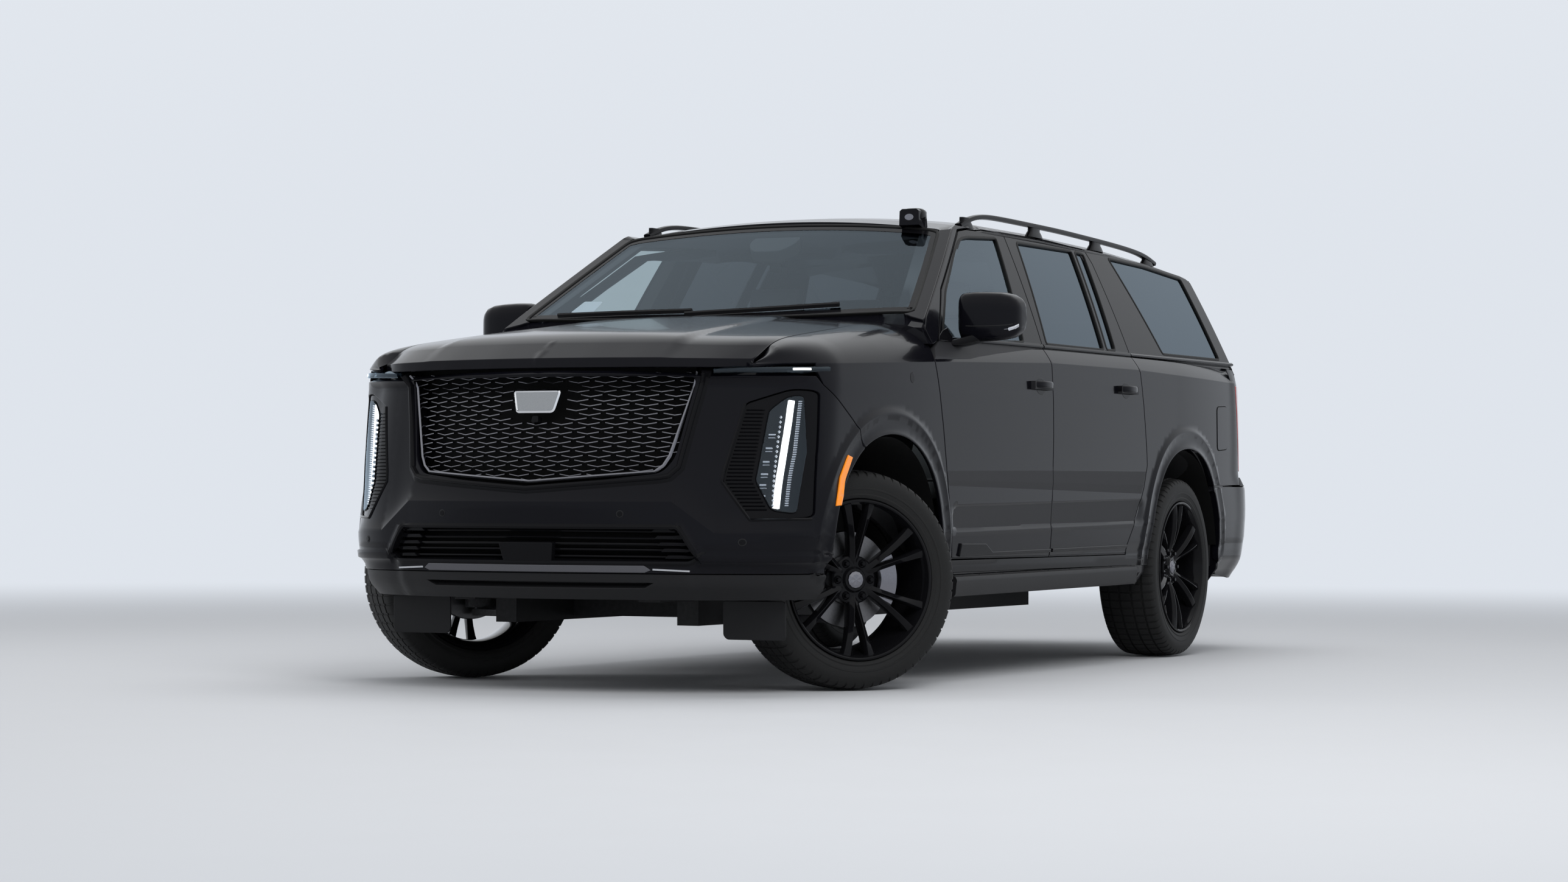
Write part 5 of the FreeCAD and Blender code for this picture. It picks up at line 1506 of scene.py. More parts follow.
# Spoke: radius, angle from the pair's middle, half width, face, crest above the face, depth
SPOKE = ((0.050, 4.5, 0.0150, 0.072, 0.003, 0.050), (0.080, 5.6, 0.0135, 0.080, 0.006, 0.046),
         (0.120, 6.8, 0.0120, 0.092, 0.009, 0.042), (0.170, 7.9, 0.0120, 0.104, 0.010, 0.038),
         (0.220, 8.8, 0.0135, 0.113, 0.009, 0.034), (0.262, 9.4, 0.0165, 0.119, 0.006, 0.032),
         (0.2905, 9.8, 0.0200, 0.1215, 0.003, 0.034))


def spokes_mesh():
    """Pairs of spokes, each with a crest towards its neighbour in the pair."""
    verts, polys = [], []
    for pair in range(SPOKE_PAIRS):
        for hand in (-1, 1):
            at = len(verts)
            for radius, degrees, half, face, crest, deep in SPOKE:
                angle = math.radians(90 + pair * 360 / SPOKE_PAIRS + hand * degrees)
                c, s = math.cos(angle), math.sin(angle)
                top = -hand * half * 0.45
                shape = [(-half, face - deep), (-half * 1.02, face - 0.012),
                         (-half * 0.82, face - 0.003), (top - 0.0015, face + crest),
                         (top + 0.0015, face + crest),
                         (half * 0.82, face - 0.003), (half * 1.02, face - 0.012),
                         (half, face - deep), (half * 0.6, face - deep - 0.004),
                         (-half * 0.6, face - deep - 0.004)]
                verts += [(x, radius * c - a * s, radius * s + a * c) for a, x in shape]
            m, n = len(shape), len(SPOKE)
            polys += tube_faces(m, n, at) + end_faces(m, n, at)
    return np.array(verts), polys


def hub_mesh():
    row = [(0.030, 0.090), (0.066, 0.094), (0.074, 0.092), (0.078, 0.086), (0.0775, 0.050),
           (0.082, 0.046), (0.088, 0.042), (0.088, 0.0005)]
    return turned(row, 60)


NUT_CIRCLE_R = 0.0698


def nuts_mesh():
    """Washers and nuts: (outward, radius) of their rings, and how many sides they have."""
    verts, polys = [], []
    for k in range(NUTS):
        angle = 2 * math.pi * (k + 1) / NUTS
        cy, cz = NUT_CIRCLE_R * math.cos(angle), NUT_CIRCLE_R * math.sin(angle)
        for rings, count in ((((0.0795, 0.0165), (0.0815, 0.0155), (0.0795, 0.0120),
                                (0.0770, 0.0118)), 24),
                              (((0.0760, 0.0102), (0.0905, 0.0100), (0.0935, 0.0082),
                                (0.0935, 0.0002)), 6)):
            at = len(verts)
            for x, r in rings:
                verts += [(x, y, z) for y, z in circle(cy, cz, r, count)]
            polys += tube_faces(count, len(rings), at)
    return np.array(verts), polys


def cap_mesh():
    """Blank centre cap with shallow facets."""
    rows = []
    for k in range(12):
        lift = 0.0015 if k % 2 else 0.0
        rows.append((2 * math.pi * k / 12, [(0.088, 0.0335), (0.0925, 0.0315),
                                            (0.0955 + lift, 0.0200), (0.0975, 0.0003)]))
    return round_points(rows), tube_faces(4, 12, wrap=False, loop=True)


def disc_mesh():
    row = [(0.030, 0.060), (0.030, 0.095), (0.020, 0.098), (0.020, 0.182), (0.012, 0.185),
           (-0.006, 0.185), (-0.010, 0.182), (-0.010, 0.060)]
    return turned(row, 72, closed=True)


def caliper_mesh(middle):
    """Brake caliper over the rim of the disc, about an angle in degrees."""
    rows = []
    for k in range(13):
        t = k / 12
        taper = 0.80 + 0.20 * math.sin(math.pi * t)
        crown = 0.206 * (0.985 + 0.015 * taper)
        row = [(-0.050, 0.120), (-0.052, 0.200), (-0.040, crown), (0.046, crown),
               (0.058, 0.196), (0.060 * taper, 0.128),
               (0.050 * taper, 0.118), (0.034, 0.116), (0.030, 0.180), (-0.026, 0.180),
               (-0.030, 0.116)]
        rows.append((math.radians(middle - 29 + 58 * t), row))
    m, n = len(row), len(rows)
    return round_points(rows), tube_faces(m, n) + end_faces(m, n)


def make_wheels():
    parts = (("tyre_skin", tyre_mesh(), "rubber", "tyre_rubber", 28, "tyre"),
             ("rim", rim_mesh(), "wheel_black", "wheel_black", 30, "wheel"),
             ("spokes", spokes_mesh(), "wheel_black", "wheel_black", 28, None),
             ("hub", hub_mesh(), "wheel_black", "wheel_black", 30, None),
             ("nuts", nuts_mesh(), "gloss", "wheel_black", 30, None),
             ("cap", cap_mesh(), "dark_chrome", "wheel_black", 5, None),
             ("disc", disc_mesh(), "disc_metal", "cast_metal", 30, None))
    for place in ("front", "rear"):
        for word in ("left", "right"):
            where = wheel_frame(place, word)
            for name, (verts, polys), kind, slot, angle, node in parts:
                solid_piece(f"{name}_{place}_{word}", f"{place}_{word}_wheel", slot,
                            placed(verts, where), polys, kind, angle,
                            (f"{node}_{place}_{word}",) if node else ())
            body = f"{word}_steer" if place == "front" else "chassis"
            ahead = 0 if (place == "front") == (word == "left") else 180
            verts, polys = caliper_mesh(ahead)
            solid_piece(f"caliper_{place}_{word}", body, "cast_metal", placed(verts, where),
                        polys, "dark_chrome", 35)


# Arches behind the tyres, and the flaps ahead of them

def make_liners():
    for name, arch in (("front", FRONT_ARCH), ("rear", REAR_ARCH)):
        inner = offset_line(arch, -0.006)
        xs = (1.004, 0.96, 0.80, 0.62)
        m = len(xs)
        verts = [(x, y, z + (0.01 if x < 0.9 else 0)) for y, z in inner for x in xs]
        polys = tube_faces(m, len(inner), wrap=False)
        low = inner[:, 1].min()
        base = len(verts)
        verts += [(xs[-1], y, low) for y, _ in inner]
        polys += [(k * m + m - 1, (k + 1) * m + m - 1, base + k + 1, base + k)
                  for k in range(len(inner) - 1)]
        both_sides(f"arch_liner_{name}", "chassis", "trim_black", np.array(verts), polys, "liner_and_shade")


def make_flaps():
    outline = rounded([(0.590, 0.345), (0.590, 0.215), (0.605, 0.200), (0.842, 0.200),
                       (0.848, 0.215), (0.848, 0.345)], 0.012)
    for k, word in HANDS:
        faces = [[(k * x, y - 0.018 * (z - 0.2), z) for x, z in outline]
                 for y in (-2.421, -2.413)]
        flap = loft(f"tyre_flap_{word}", "chassis", "trim_black", faces, "matte", 35)
        bevelled(flap, 0.002, 2)


# Glass and roof fittings

def top_of_screen(x):
    """Height of the windscreen's upper edge."""
    return 1.886 - 0.040 * (x / 0.7) ** 2


def screen_edge(z):
    """Half width of the windscreen opening at a height."""
    return float(house_x(np.array(z))) - 0.062


def make_screen():
    zs = np.linspace(1.475, 1.835, 12)
    right = [(screen_edge(z), z) for z in zs]
    top = [(x, top_of_screen(x)) for x in np.linspace(0.68, -0.68, 15)]
    left = [(-x, z) for x, z in right[::-1]]
    bottom = [(x, 1.462 + 0.016 * (x / 0.85) ** 2) for x in np.linspace(-0.80, 0.80, 15)]
    ring = rounded(right + top + left + bottom, 0.03)
    panel("windscreen", "chassis", "clear_glass", ring, deeper(screen, 0.004),
          MADE["screen_glass"], 0.06, sides=(1,), gap=-0.004, roll=0.001, depth=0.004,
          replaces=("fixed_glass",))
    sweep("windscreen_border", "chassis", "trim_black", screen, grown(ring, -0.012),
          [(-0.020, -0.0035), (-0.020, -0.0028), (0.012, -0.0028), (0.012, -0.0035)], "gloss",
          closed=True, sides=(1,), spacing=0.03)
    sweep("windscreen_seal", "chassis", "trim_black", screen, grown(ring, 0.003), SEAL, "seal",
          closed=True, sides=(1,), spacing=0.03)
    outer_edge = [(float(house_x(np.array(z))) - 0.003, z) for z in np.linspace(1.430, 1.853, 16)]
    inner_edge = [(screen_edge(z) + 0.004, z) for z in np.linspace(1.848, 1.475, 14)]
    foot = [(screen_edge(1.475) - 0.03, 1.462), (screen_edge(1.475) + 0.01, 1.447)]
    panel("pillar_front_face", "chassis", "body_paint", outer_edge + inner_edge + foot, screen,
          "paint", 0.022, gap=0.0, roll=0.004, depth=0.03)
    label = rounded([(-0.700, 1.512), (-0.585, 1.508), (-0.585, 1.560), (-0.680, 1.563)], 0.006)
    panel("label", "chassis", "cabin_plastic", label, deeper(screen, 0.012), "plate_white", 0.03,
          sides=(1,), gap=0.0, roll=0.001, depth=0.001)
    hub = [(-0.085, 1.880), (0.085, 1.880), (0.120, 1.820), (0.07, 1.775), (-0.07, 1.775),
           (-0.120, 1.820)]
    panel("sensor_cover", "chassis", "cabin_plastic", rounded(hub, 0.03), deeper(screen, 0.012),
          "cabin", 0.03, sides=(1,), gap=0.0, roll=0.004, depth=0.05)
    for name, line in (("a", [(-0.10, 1.470), (0.20, 1.482), (0.56, 1.499)]),
                       ("b", [(-0.72, 1.478), (-0.40, 1.482), (-0.08, 1.484)])):
        sweep(f"wiper_{name}", "chassis", "trim_black", screen, line,
              [(-0.008, 0.002), (-0.006, 0.016), (0.0, 0.020), (0.006, 0.016), (0.008, 0.002)],
              "matte", sides=(1,), spacing=0.03)


def make_cowl():
    half = 0.785
    xs = np.linspace(-half, half, 21)
    front = [(x, hood_v(x, -1.455)) for x in xs]
    back = [(x, hood_v(x, -1.405 + 0.075 * (abs(x) / half) ** 2)) for x in xs[::-1]]
    panel("cowl_panel", "chassis", "trim_black", front + back, hood, "gloss", 0.03, sides=(1,),
          gap=0.0, roll=0.003, depth=0.03, offset=-0.005)


# Mirror housing: x, middle y, middle z, half depth, half height
MIRROR = ((0.990, -1.095, 1.470, 0.030, 0.055), (0.994, -1.095, 1.468, 0.048, 0.078),
          (1.003, -1.094, 1.464, 0.060, 0.090), (1.020, -1.092, 1.461, 0.066, 0.097),
          (1.060, -1.090, 1.460, 0.070, 0.100), (1.120, -1.088, 1.459, 0.071, 0.099),
          (1.170, -1.083, 1.459, 0.069, 0.095), (1.205, -1.075, 1.458, 0.063, 0.086),
          (1.226, -1.066, 1.457, 0.054, 0.072), (1.236, -1.057, 1.457, 0.042, 0.055),
          (1.240, -1.048, 1.457, 0.026, 0.034))
MIRROR_REAR_Y = -1.021


def mirror_at(x):
    """Middle y, middle z, half depth and half height of the mirror housing at x."""
    columns = np.array(MIRROR).T
    return [float(np.interp(x, columns[0], column)) for column in columns[1:]]


def make_mirrors():
    ring, arm_ring = oval(40, 4.0), oval(20, 3.0)
    rear = MIRROR_REAR_Y
    glass = rounded([(1.020, 1.380), (1.200, 1.386), (1.214, 1.455), (1.205, 1.528),
                     (1.160, 1.544), (1.022, 1.544)], 0.025)
    # Seam of the lower shell, as shares of the housing's half height and half depth
    seam_b = -0.42
    seam_a = -(1 - abs(seam_b) ** 4.0) ** 0.25
    for k, word in HANDS:
        body = f"front_{word}_door"
        housing = [[(k * x, min(y + a * dy, rear), z + b * dz + 0.006 * a) for a, b in ring]
                   for x, y, z, dy, dz in MIRROR]
        loft(f"mirror_housing_{word}", body, "body_paint", housing, "paint", 50,
             replaces=(f"mirror_{word}",))
        panes = [[(k * x, rear + 0.0005, z) for x, z in glass],
                 [(k * x, rear + 0.003, z) for x, z in grown(glass, -0.002)]]
        loft(f"mirror_glass_{word}", body, "clear_glass", panes, "chrome", 30)
        seam, lamp, arm = [], [], []
        for x in np.linspace(1.032, 1.228, 16):
            y, z, dy, dz = mirror_at(x)
            at = np.array([k * x, y + seam_a * dy - 0.0005, z + seam_b * dz])
            seam.append([at + [0, dy, dz] for dy, dz in (
                (-0.0006, 0.0022), (-0.0012, 0), (-0.0006, -0.0022), (0.004, 0))])
        loft(f"mirror_seam_{word}", body, "trim_black", seam, "matte", 30)
        for x in np.linspace(1.188, 1.235, 9):
            y, z, dy, dz = mirror_at(x)
            front = y - dy * 0.93 - 0.001
            lamp.append([(k * (x + out), front + back, z - down * dz) for out, back, down in (
                (0.002, 0, 0.52), (0.003, -0.001, 0.60), (0.002, 0.002, 0.72),
                (0, 0.012, 0.62))])
        loft(f"mirror_turn_lamp_{word}", body, "clear_lamp", lamp, "reflector", 30)
        for t in np.linspace(0, 1, 8):
            x, y, z = 0.985 + 0.110 * t, -1.150 + 0.055 * t, 1.350 + 0.034 * t ** 1.3
            dy, dz = 0.060 - 0.020 * t, 0.016 + 0.004 * t
            arm.append([(k * (x - 0.3 * b * dz), y + a * dy, z + b * dz) for a, b in arm_ring])
        loft(f"mirror_arm_{word}", body, "trim_black", arm, "gloss", 40)
    sail = [(-1.334, 1.354), (-1.165, 1.356), (-1.205, 1.412), (-1.262, 1.398), (-1.318, 1.372)]
    panel("mirror_sail", "front_SIDE_door", "trim_black", sail, house, "gloss", 0.02,
          offset=0.004, roll=0.003, gap=0, depth=0.006)


def make_handles():
    ring = oval(20, 3.0)
    for place, cy, cz in (("front", -0.333, 1.211), ("rear", 0.704, 1.225)):
        scoop = np.array(circle(0, 0, 1, 36)) * [0.058, 0.036] + [cy + 0.006, cz - 0.006]
        panel(f"handle_scoop_{place}", f"{place}_SIDE_door", "trim_black", scoop, side, "gloss",
              0.012, offset=0.0008, roll=0.002, gap=0, depth=0.004)
        for k, word in HANDS:
            body = f"{place}_{word}_door"
            grip = []
            for t in np.linspace(-1, 1, 17):
                y = cy + 0.100 * t
                x = side_at(y, cz) + 0.010 + 0.026 * (1 - abs(t) ** 2.6)
                tip = 0.45 if abs(t) == 1 else 1
                dx = 0.0075 * (1 - 0.30 * abs(t) ** 4) * tip
                dz = 0.0155 * (1 - 0.35 * abs(t) ** 3) * tip
                grip.append([(k * (x + a * dx), y, cz + b * dz) for a, b in ring])
            loft(f"handle_{place}_{word}", body, "body_paint", grip, "paint", 45)
            for end, letter in ((-1, "a"), (1, "b")):
                y = cy + end * 0.088
                x = side_at(y, cz)
                foot = [[(k * (x + out), y + a * 0.013, cz + b * 0.013) for a, b in ring]
                        for out in (-0.002, 0.018)]
                loft(f"handle_foot_{place}_{letter}_{word}", body, "trim_black", foot, "gloss",
                     45)


def make_sills():
    ring = [(-1.345, 0.432), (1.032, 0.432), (1.036, 0.486), (-1.238, 0.486), (-1.345, 0.486)]
    panel("sill", "chassis", "body_paint", ring, side, "gloss", 0.03, depth=0.03)
    front = [(-1.178, 0.499), (-0.178, 0.507), (-0.178, 0.521), (-0.828, 0.515), (-0.908, 0.549),
             (-1.165, 0.551)]
    rear = [(-0.162, 0.507), (0.752, 0.517), (0.762, 0.531), (-0.162, 0.521)]
    for place, ring in (("front", front), ("rear", rear)):
        panel(f"door_strip_{place}", f"{place}_SIDE_door", "trim_black", rounded(ring, 0.004),
              side, "gloss", 0.02, offset=0.009, roll=0.004, gap=0, depth=0.012)
    front = [(-1.19, 1.366), (-1.0, 1.372), (-0.60, 1.377), (-0.198, 1.381)]
    rear = [(-0.186, 1.381), (0.35, 1.386), (0.884, 1.389)]
    for place, line in (("front", front), ("rear", rear)):
        sweep(f"belt_strip_{place}", f"{place}_SIDE_door", "trim_black", house, line,
              [(-0.010, -0.006), (-0.009, 0.004), (-0.004, 0.007), (0.005, 0.006), (0.009, 0.002),
               (0.010, -0.006)], "gloss", spacing=0.05)
    sweep("belt_strip_quarter", "chassis", "trim_black", house,
          [(0.898, 1.389), (1.4, 1.393), (2.0, 1.398), (2.36, 1.401)],
          [(-0.008, -0.006), (-0.007, 0.004), (0.0, 0.006), (0.007, 0.002), (0.008, -0.006)],
          "gloss", spacing=0.05)


# Running boards
BOARD_X, BOARD_FRONT_Y, BOARD_REAR_Y = 0.987, -1.231, 0.858
BOARD_SHAPE = [(-0.045, -0.004), (-0.044, 0.0), (0.026, 0.0), (0.036, -0.004), (0.042, -0.016),
               (0.042, -0.022), (0.040, -0.030), (0.036, -0.072), (0.028, -0.082),
               (-0.030, -0.083), (-0.045, -0.060)]
# One tread rib: its shape, its length, and the pitch along and across the board
RIB_SHAPE = ((0, -0.001), (0.0008, 0.0022), (0.0042, 0.0022), (0.005, -0.001))
RIB_LONG, RIB_PITCH_Y, RIB_PITCH_X = 0.236, 0.254, 0.0088


def board_z(y):
    """Height of the tread, which rises a little towards the rear."""
    return 0.4215 + 0.0062 * (y - BOARD_FRONT_Y)


def make_boards():
    for k, word in HANDS:
        ys = np.linspace(BOARD_FRONT_Y, BOARD_REAR_Y, 40)
        p = np.stack([ys * 0 + k * BOARD_X, ys, board_z(ys)], 1)
        across = np.tile([k * 1.0, 0, 0], (40, 1))
        up = np.tile([0, 0, 1.0], (40, 1))
        run_profile(f"running_board_{word}", "chassis", "trim_black", p, across, up,
                    BOARD_SHAPE, "matte", sides=(1,),
                    replaces=("running_boards",) if k > 0 else ())
        verts, polys = [], []
        for j in range(7):
            x0 = BOARD_X - 0.036 + j * RIB_PITCH_X
            for y0 in -1.20 + RIB_PITCH_Y * np.arange(8):
                polys += tube_faces(4, 2, len(verts)) + end_faces(4, 2, len(verts))
                verts += [(k * (x0 + dx), y, board_z(y) + dz)
                          for y in (y0, y0 + RIB_LONG) for dx, dz in RIB_SHAPE]
        solid_piece(f"running_board_ribs_{word}", "chassis", "trim_black", verts, polys,
                    "rubber", 30)


RAIL_LINE = [(-0.548, 1.886), (-0.530, 1.903), (-0.480, 1.922), (-0.400, 1.938), (-0.28, 1.948),
             (0.0, 1.9495), (0.6, 1.9475), (1.2, 1.936), (1.5, 1.927), (1.74, 1.913),
             (1.82, 1.902), (1.865, 1.882)]
# Feet of the rails: y, half length and top
RAIL_FEET = ((-0.47, 0.060, 1.915), (0.31, 0.070, 1.930), (1.07, 0.070, 1.922),
             (1.77, 0.060, 1.895))
RAIL_SHAPE = [(-0.015, -0.018), (-0.017, -0.008), (-0.013, -0.002), (-0.005, 0.0), (0.006, 0.0),
              (0.014, -0.003), (0.017, -0.010), (0.015, -0.020), (0.0, -0.023)]
DITCH_SHAPE = [(-0.007, -0.006), (-0.006, 0.001), (0.0, -0.001), (0.006, 0.0), (0.007, -0.006)]
RAIL_X, DITCH_X = 0.739, 0.772


def make_rails():
    line = flowing(RAIL_LINE, 80)
    ring = oval(20, 3.5)
    for k, word in HANDS:
        y, z = line[:, 0], line[:, 1]
        p = np.stack([y * 0 + k * RAIL_X, y, z], 1)
        d = np.gradient(p, axis=0)
        d /= np.linalg.norm(d, axis=1)[:, None]
        across = np.tile([1.0, 0, 0], (len(p), 1))
        up = np.cross(across, d)
        up *= np.where(up[:, 2] < 0, -1, 1)[:, None]
        run_profile(f"roof_rail_{word}", "chassis", "grille_black", p, across, up, RAIL_SHAPE,
                    "gloss", sides=(1,), replaces=("roof_rails",) if k > 0 else ())
        for j, (y0, half, top) in enumerate(RAIL_FEET):
            edge = line_at(y0, ROOF_EDGE)
            rings = ((edge - 0.012, 0.017, half + 0.02), (edge + 0.006, 0.015, half),
                     ((edge + top) / 2, 0.012, half * 0.82), (top, 0.012, half * 0.8))
            foot = [[(k * RAIL_X + a * dx, y0 + b * dy, z) for a, b in ring]
                    for z, dx, dy in rings]
            loft(f"rail_foot_{j}_{word}", "chassis", "trim_black", foot, "gloss", 40)
        ditch = [(DITCH_X, y) for y in np.linspace(-0.69, 2.10, 40)]
        pts = roof(np.array(ditch)) * np.array([k, 1, 1])
        across = np.tile([k * 1.0, 0, 0], (40, 1))
        up = np.tile([0, 0, 1.0], (40, 1))
        run_profile(f"roof_ditch_{word}", "chassis", "trim_black", pts + [0, 0, -0.001], across,
                    up, DITCH_SHAPE, "matte", sides=(1,))


# Roof pod: place along its length, share of its width, and height
POD = ((0.0, 0.60, 0.010), (0.03, 0.80, 0.026), (0.14, 0.93, 0.038), (0.35, 1.0, 0.045),
       (0.65, 1.0, 0.046), (0.86, 0.95, 0.044), (0.96, 0.85, 0.034), (1.0, 0.62, 0.014))
POD_X = 0.600


def make_roof_pod():
    ring = oval(32, 3.6)
    pod = []
    for t, width, top in POD:
        y = -0.742 + 0.092 * t
        pod.append([(POD_X + a * 0.050 * width * (1 - 0.06 * (b + 1)), y + 0.004 * (b + 1),
                     1.884 + (top + 0.013) * (b + 1) / 2) for a, b in ring])
    loft("roof_pod", "chassis", "body_paint", pod, "gloss", 45)
    lens = np.array(circle(0, 0, 1, 24)) * [0.020, 0.013] + [POD_X, 1.902]
    faces = [[(x, y, z) for x, z in lens] for y in (-0.7415, -0.7385)]
    loft("roof_pod_lens", "chassis", "clear_lamp", faces, "dark_chrome", 30)


# Tail

def tail(points):
    """(u, z) right round the tail: past the middle, u runs on down the other side."""
    u, z = points[:, 0], points[:, 1]
    other = u > TAIL_MID
    uu = np.where(other, 2 * TAIL_MID - u, u)
    up = crease_z(uu)
    x, y = side_x(uu, np.minimum(z, up))
    over = np.clip(z - up, 0, 1)
    x, y = x - 0.30 * over * step(x, 0.5, 1.0), y - 0.50 * over * (1 - step(x, 0.85, 1.0))
    return np.stack([np.where(other, -x, x), y, z], 1)


def on_tail(shape):
    """Outline of (x, z) points turned into (u, z) points of the tail surface."""
    shape = np.asarray(shape, float)
    u = u_of_x(shape[:, 0], shape[:, 1], nose=False)
    return np.stack([np.where(shape[:, 0] < 0, 2 * TAIL_MID - u, u), shape[:, 1]], 1)


def mirrored_half(half):
    """Outline of (x, z) points closed with its own mirror image."""
    return list(half) + [(-x, z) for x, z in half[::-1] if abs(x) > 1e-6]


PLATE_POCKET = [(-0.235, 0.965), (0.235, 0.965), (0.255, 1.115), (-0.255, 1.115)]
BACK_PANE = mirrored_half([(0.0, 1.372), (0.40, 1.374), (0.715, 1.385), (0.642, 1.735),
                           (0.30, 1.762), (0.0, 1.768)])
TAIL_LAMP_INNER = [(0.866, 1.296), (0.864, 1.10), (0.860, 0.872)]
TAIL_LAMP_OUTER = [(2.352, 0.872), (2.318, 1.10), (2.302, 1.296)]


def make_gate():
    low = mirrored_half([(0.0, 0.853), (0.40, 0.853), (0.829, 0.853), (0.836, 1.05),
                         (0.848, 1.294), (0.42, 1.297), (0.0, 1.298)])
    panel("gate_skin", "tailgate", "body_paint", on_tail(resampled(low, 0.03)), tail, "paint",
          0.030, holes=[on_tail(rounded(PLATE_POCKET, 0.02))], sides=(1,), gap=0.0, depth=0.034,
          replaces=("liftgate",))
    frame = mirrored_half([(0.0, 1.301), (0.42, 1.301), (0.848, 1.298), (0.802, 1.560),
                           (0.742, 1.800), (0.40, 1.846), (0.0, 1.858)])
    panel("gate_frame", "tailgate", "trim_black", frame, back_screen, "gloss", 0.035,
          holes=[rounded(BACK_PANE, 0.035)], sides=(1,), gap=0.0, depth=0.030)
    panel("gate_pane", "tailgate", "dark_glass", rounded(BACK_PANE, 0.035),
          deeper(back_screen, 0.005), MADE["privacy_glass"], 0.05, sides=(1,), gap=-0.005,
          roll=0.001, depth=0.003, replaces=("rear_glass",))
    sweep("gate_pane_seal", "tailgate", "trim_black", back_screen,
          rounded(grown(BACK_PANE, 0.003), 0.035), SEAL, "seal", closed=True, sides=(1,))
    top = [(0.735, 2.124), (0.742, 2.20), (0.70, 2.262), (0.42, 2.325), (0.0, 2.352)]
    ring = top + [(-x, y) for x, y in top[-2::-1]]
    panel("gate_spoiler", "tailgate", "body_paint", ring, roof, "paint", 0.035, sides=(1,),
          gap=0.0, roll=0.006, depth=0.045)
    pocket = deeper(tail, 0.030)
    panel("plate_pocket", "tailgate", "trim_black", on_tail(grown(PLATE_POCKET, 0.004)), pocket,
          "matte", 0.03, sides=(1,), gap=0.0, roll=0.001, depth=0.004)
    plate = [(-0.152, 0.972), (0.152, 0.972), (0.152, 1.100), (-0.152, 1.100)]
    panel("plate_rear", "tailgate", "trim_black", on_tail(rounded(plate, 0.008)),
          deeper(tail, 0.024), "satin", 0.03, sides=(1,), gap=0.0, roll=0.001, depth=0.004)
    bar = [(x, 1.142) for x in np.linspace(-0.40, 0.40, 24)]
    sweep("gate_bar", "tailgate", "grille_black", tail, on_tail(bar),
          [(-0.020, -0.004), (-0.019, 0.004), (-0.012, 0.008), (0.012, 0.008), (0.019, 0.004),
           (0.020, -0.004)], "gloss", sides=(1,), spacing=0.04)
    sweep("stop_lamp", "tailgate", "red_lamp", roof, [(x, 2.330 - 0.075 * x * x) for x in
                                                       np.linspace(-0.24, 0.24, 16)],
          [(-0.010, -0.006), (-0.009, 0.003), (0.009, 0.003), (0.010, -0.006)], "red_lens",
          sides=(1,), spacing=0.04)
    sweep("wiper_rear", "tailgate", "trim_black", back_screen,
          [(0.02, 1.345), (0.10, 1.392), (0.40, 1.405), (0.46, 1.406)],
          [(-0.007, 0.001), (-0.005, 0.014), (0.005, 0.014), (0.007, 0.001)], "matte",
          sides=(1,), spacing=0.03)


def between(name, body, slot, low, high, kind, sides=(1, -1)):
    """Strip of skin between two curves with the same number of points, 8 mm thick."""
    low, high = np.asarray(low), np.asarray(high)
    n = len(low)
    lift = np.array([0, 0, -0.008])
    mid = (low + high) / 2 + [0, 0, 0.004]
    verts = np.concatenate([low, mid, high, high + lift, low + lift])
    polys = tube_faces(n, 5, wrap=False, loop=True)
    polys += [tuple(k * n for k in range(5)), tuple(k * n + n - 1 for k in range(5))[::-1]]
    for k in sides:
        word = "left" if k > 0 else "right"
        label = name if len(sides) == 1 else f"{name}_{word}"
        solid_piece(label, body, slot, verts * [k, 1, 1], polys, kind, 40)


def make_ledges():
    """Shoulder under the rear glass, on the tailgate and round the corners."""
    xs = np.linspace(-0.846, 0.846, 60)
    low = tail(on_tail(np.stack([xs, xs * 0 + 1.297], 1))) + [0, -0.003, 0]
    high = back_screen(np.stack([xs, xs * 0 + 1.304], 1)) + [0, 0.004, 0]
    between("gate_ledge", "tailgate", "body_paint", low, high, "paint", sides=(1,))
    start = float(on_tail([(0.857, 1.30)])[0, 0])
    us = np.linspace(start, 2.26, 30)
    low = tail(np.stack([us, us * 0 + 1.298], 1)) * [0.9975, 0.9975, 1]
    round_it = list(back_screen(np.stack([np.linspace(0.857, 0.992, 18), [1.345] * 18], 1)))
    round_it += list(house(np.stack([np.linspace(2.33, 2.24, 12), [1.372] * 12], 1)))
    round_it = np.array(round_it)
    for _ in range(3):
        round_it[1:-1] = (round_it[:-2] + 2 * round_it[1:-1] + round_it[2:]) / 4
    between("corner_ledge", "chassis", "body_paint", low, round_it, "paint")


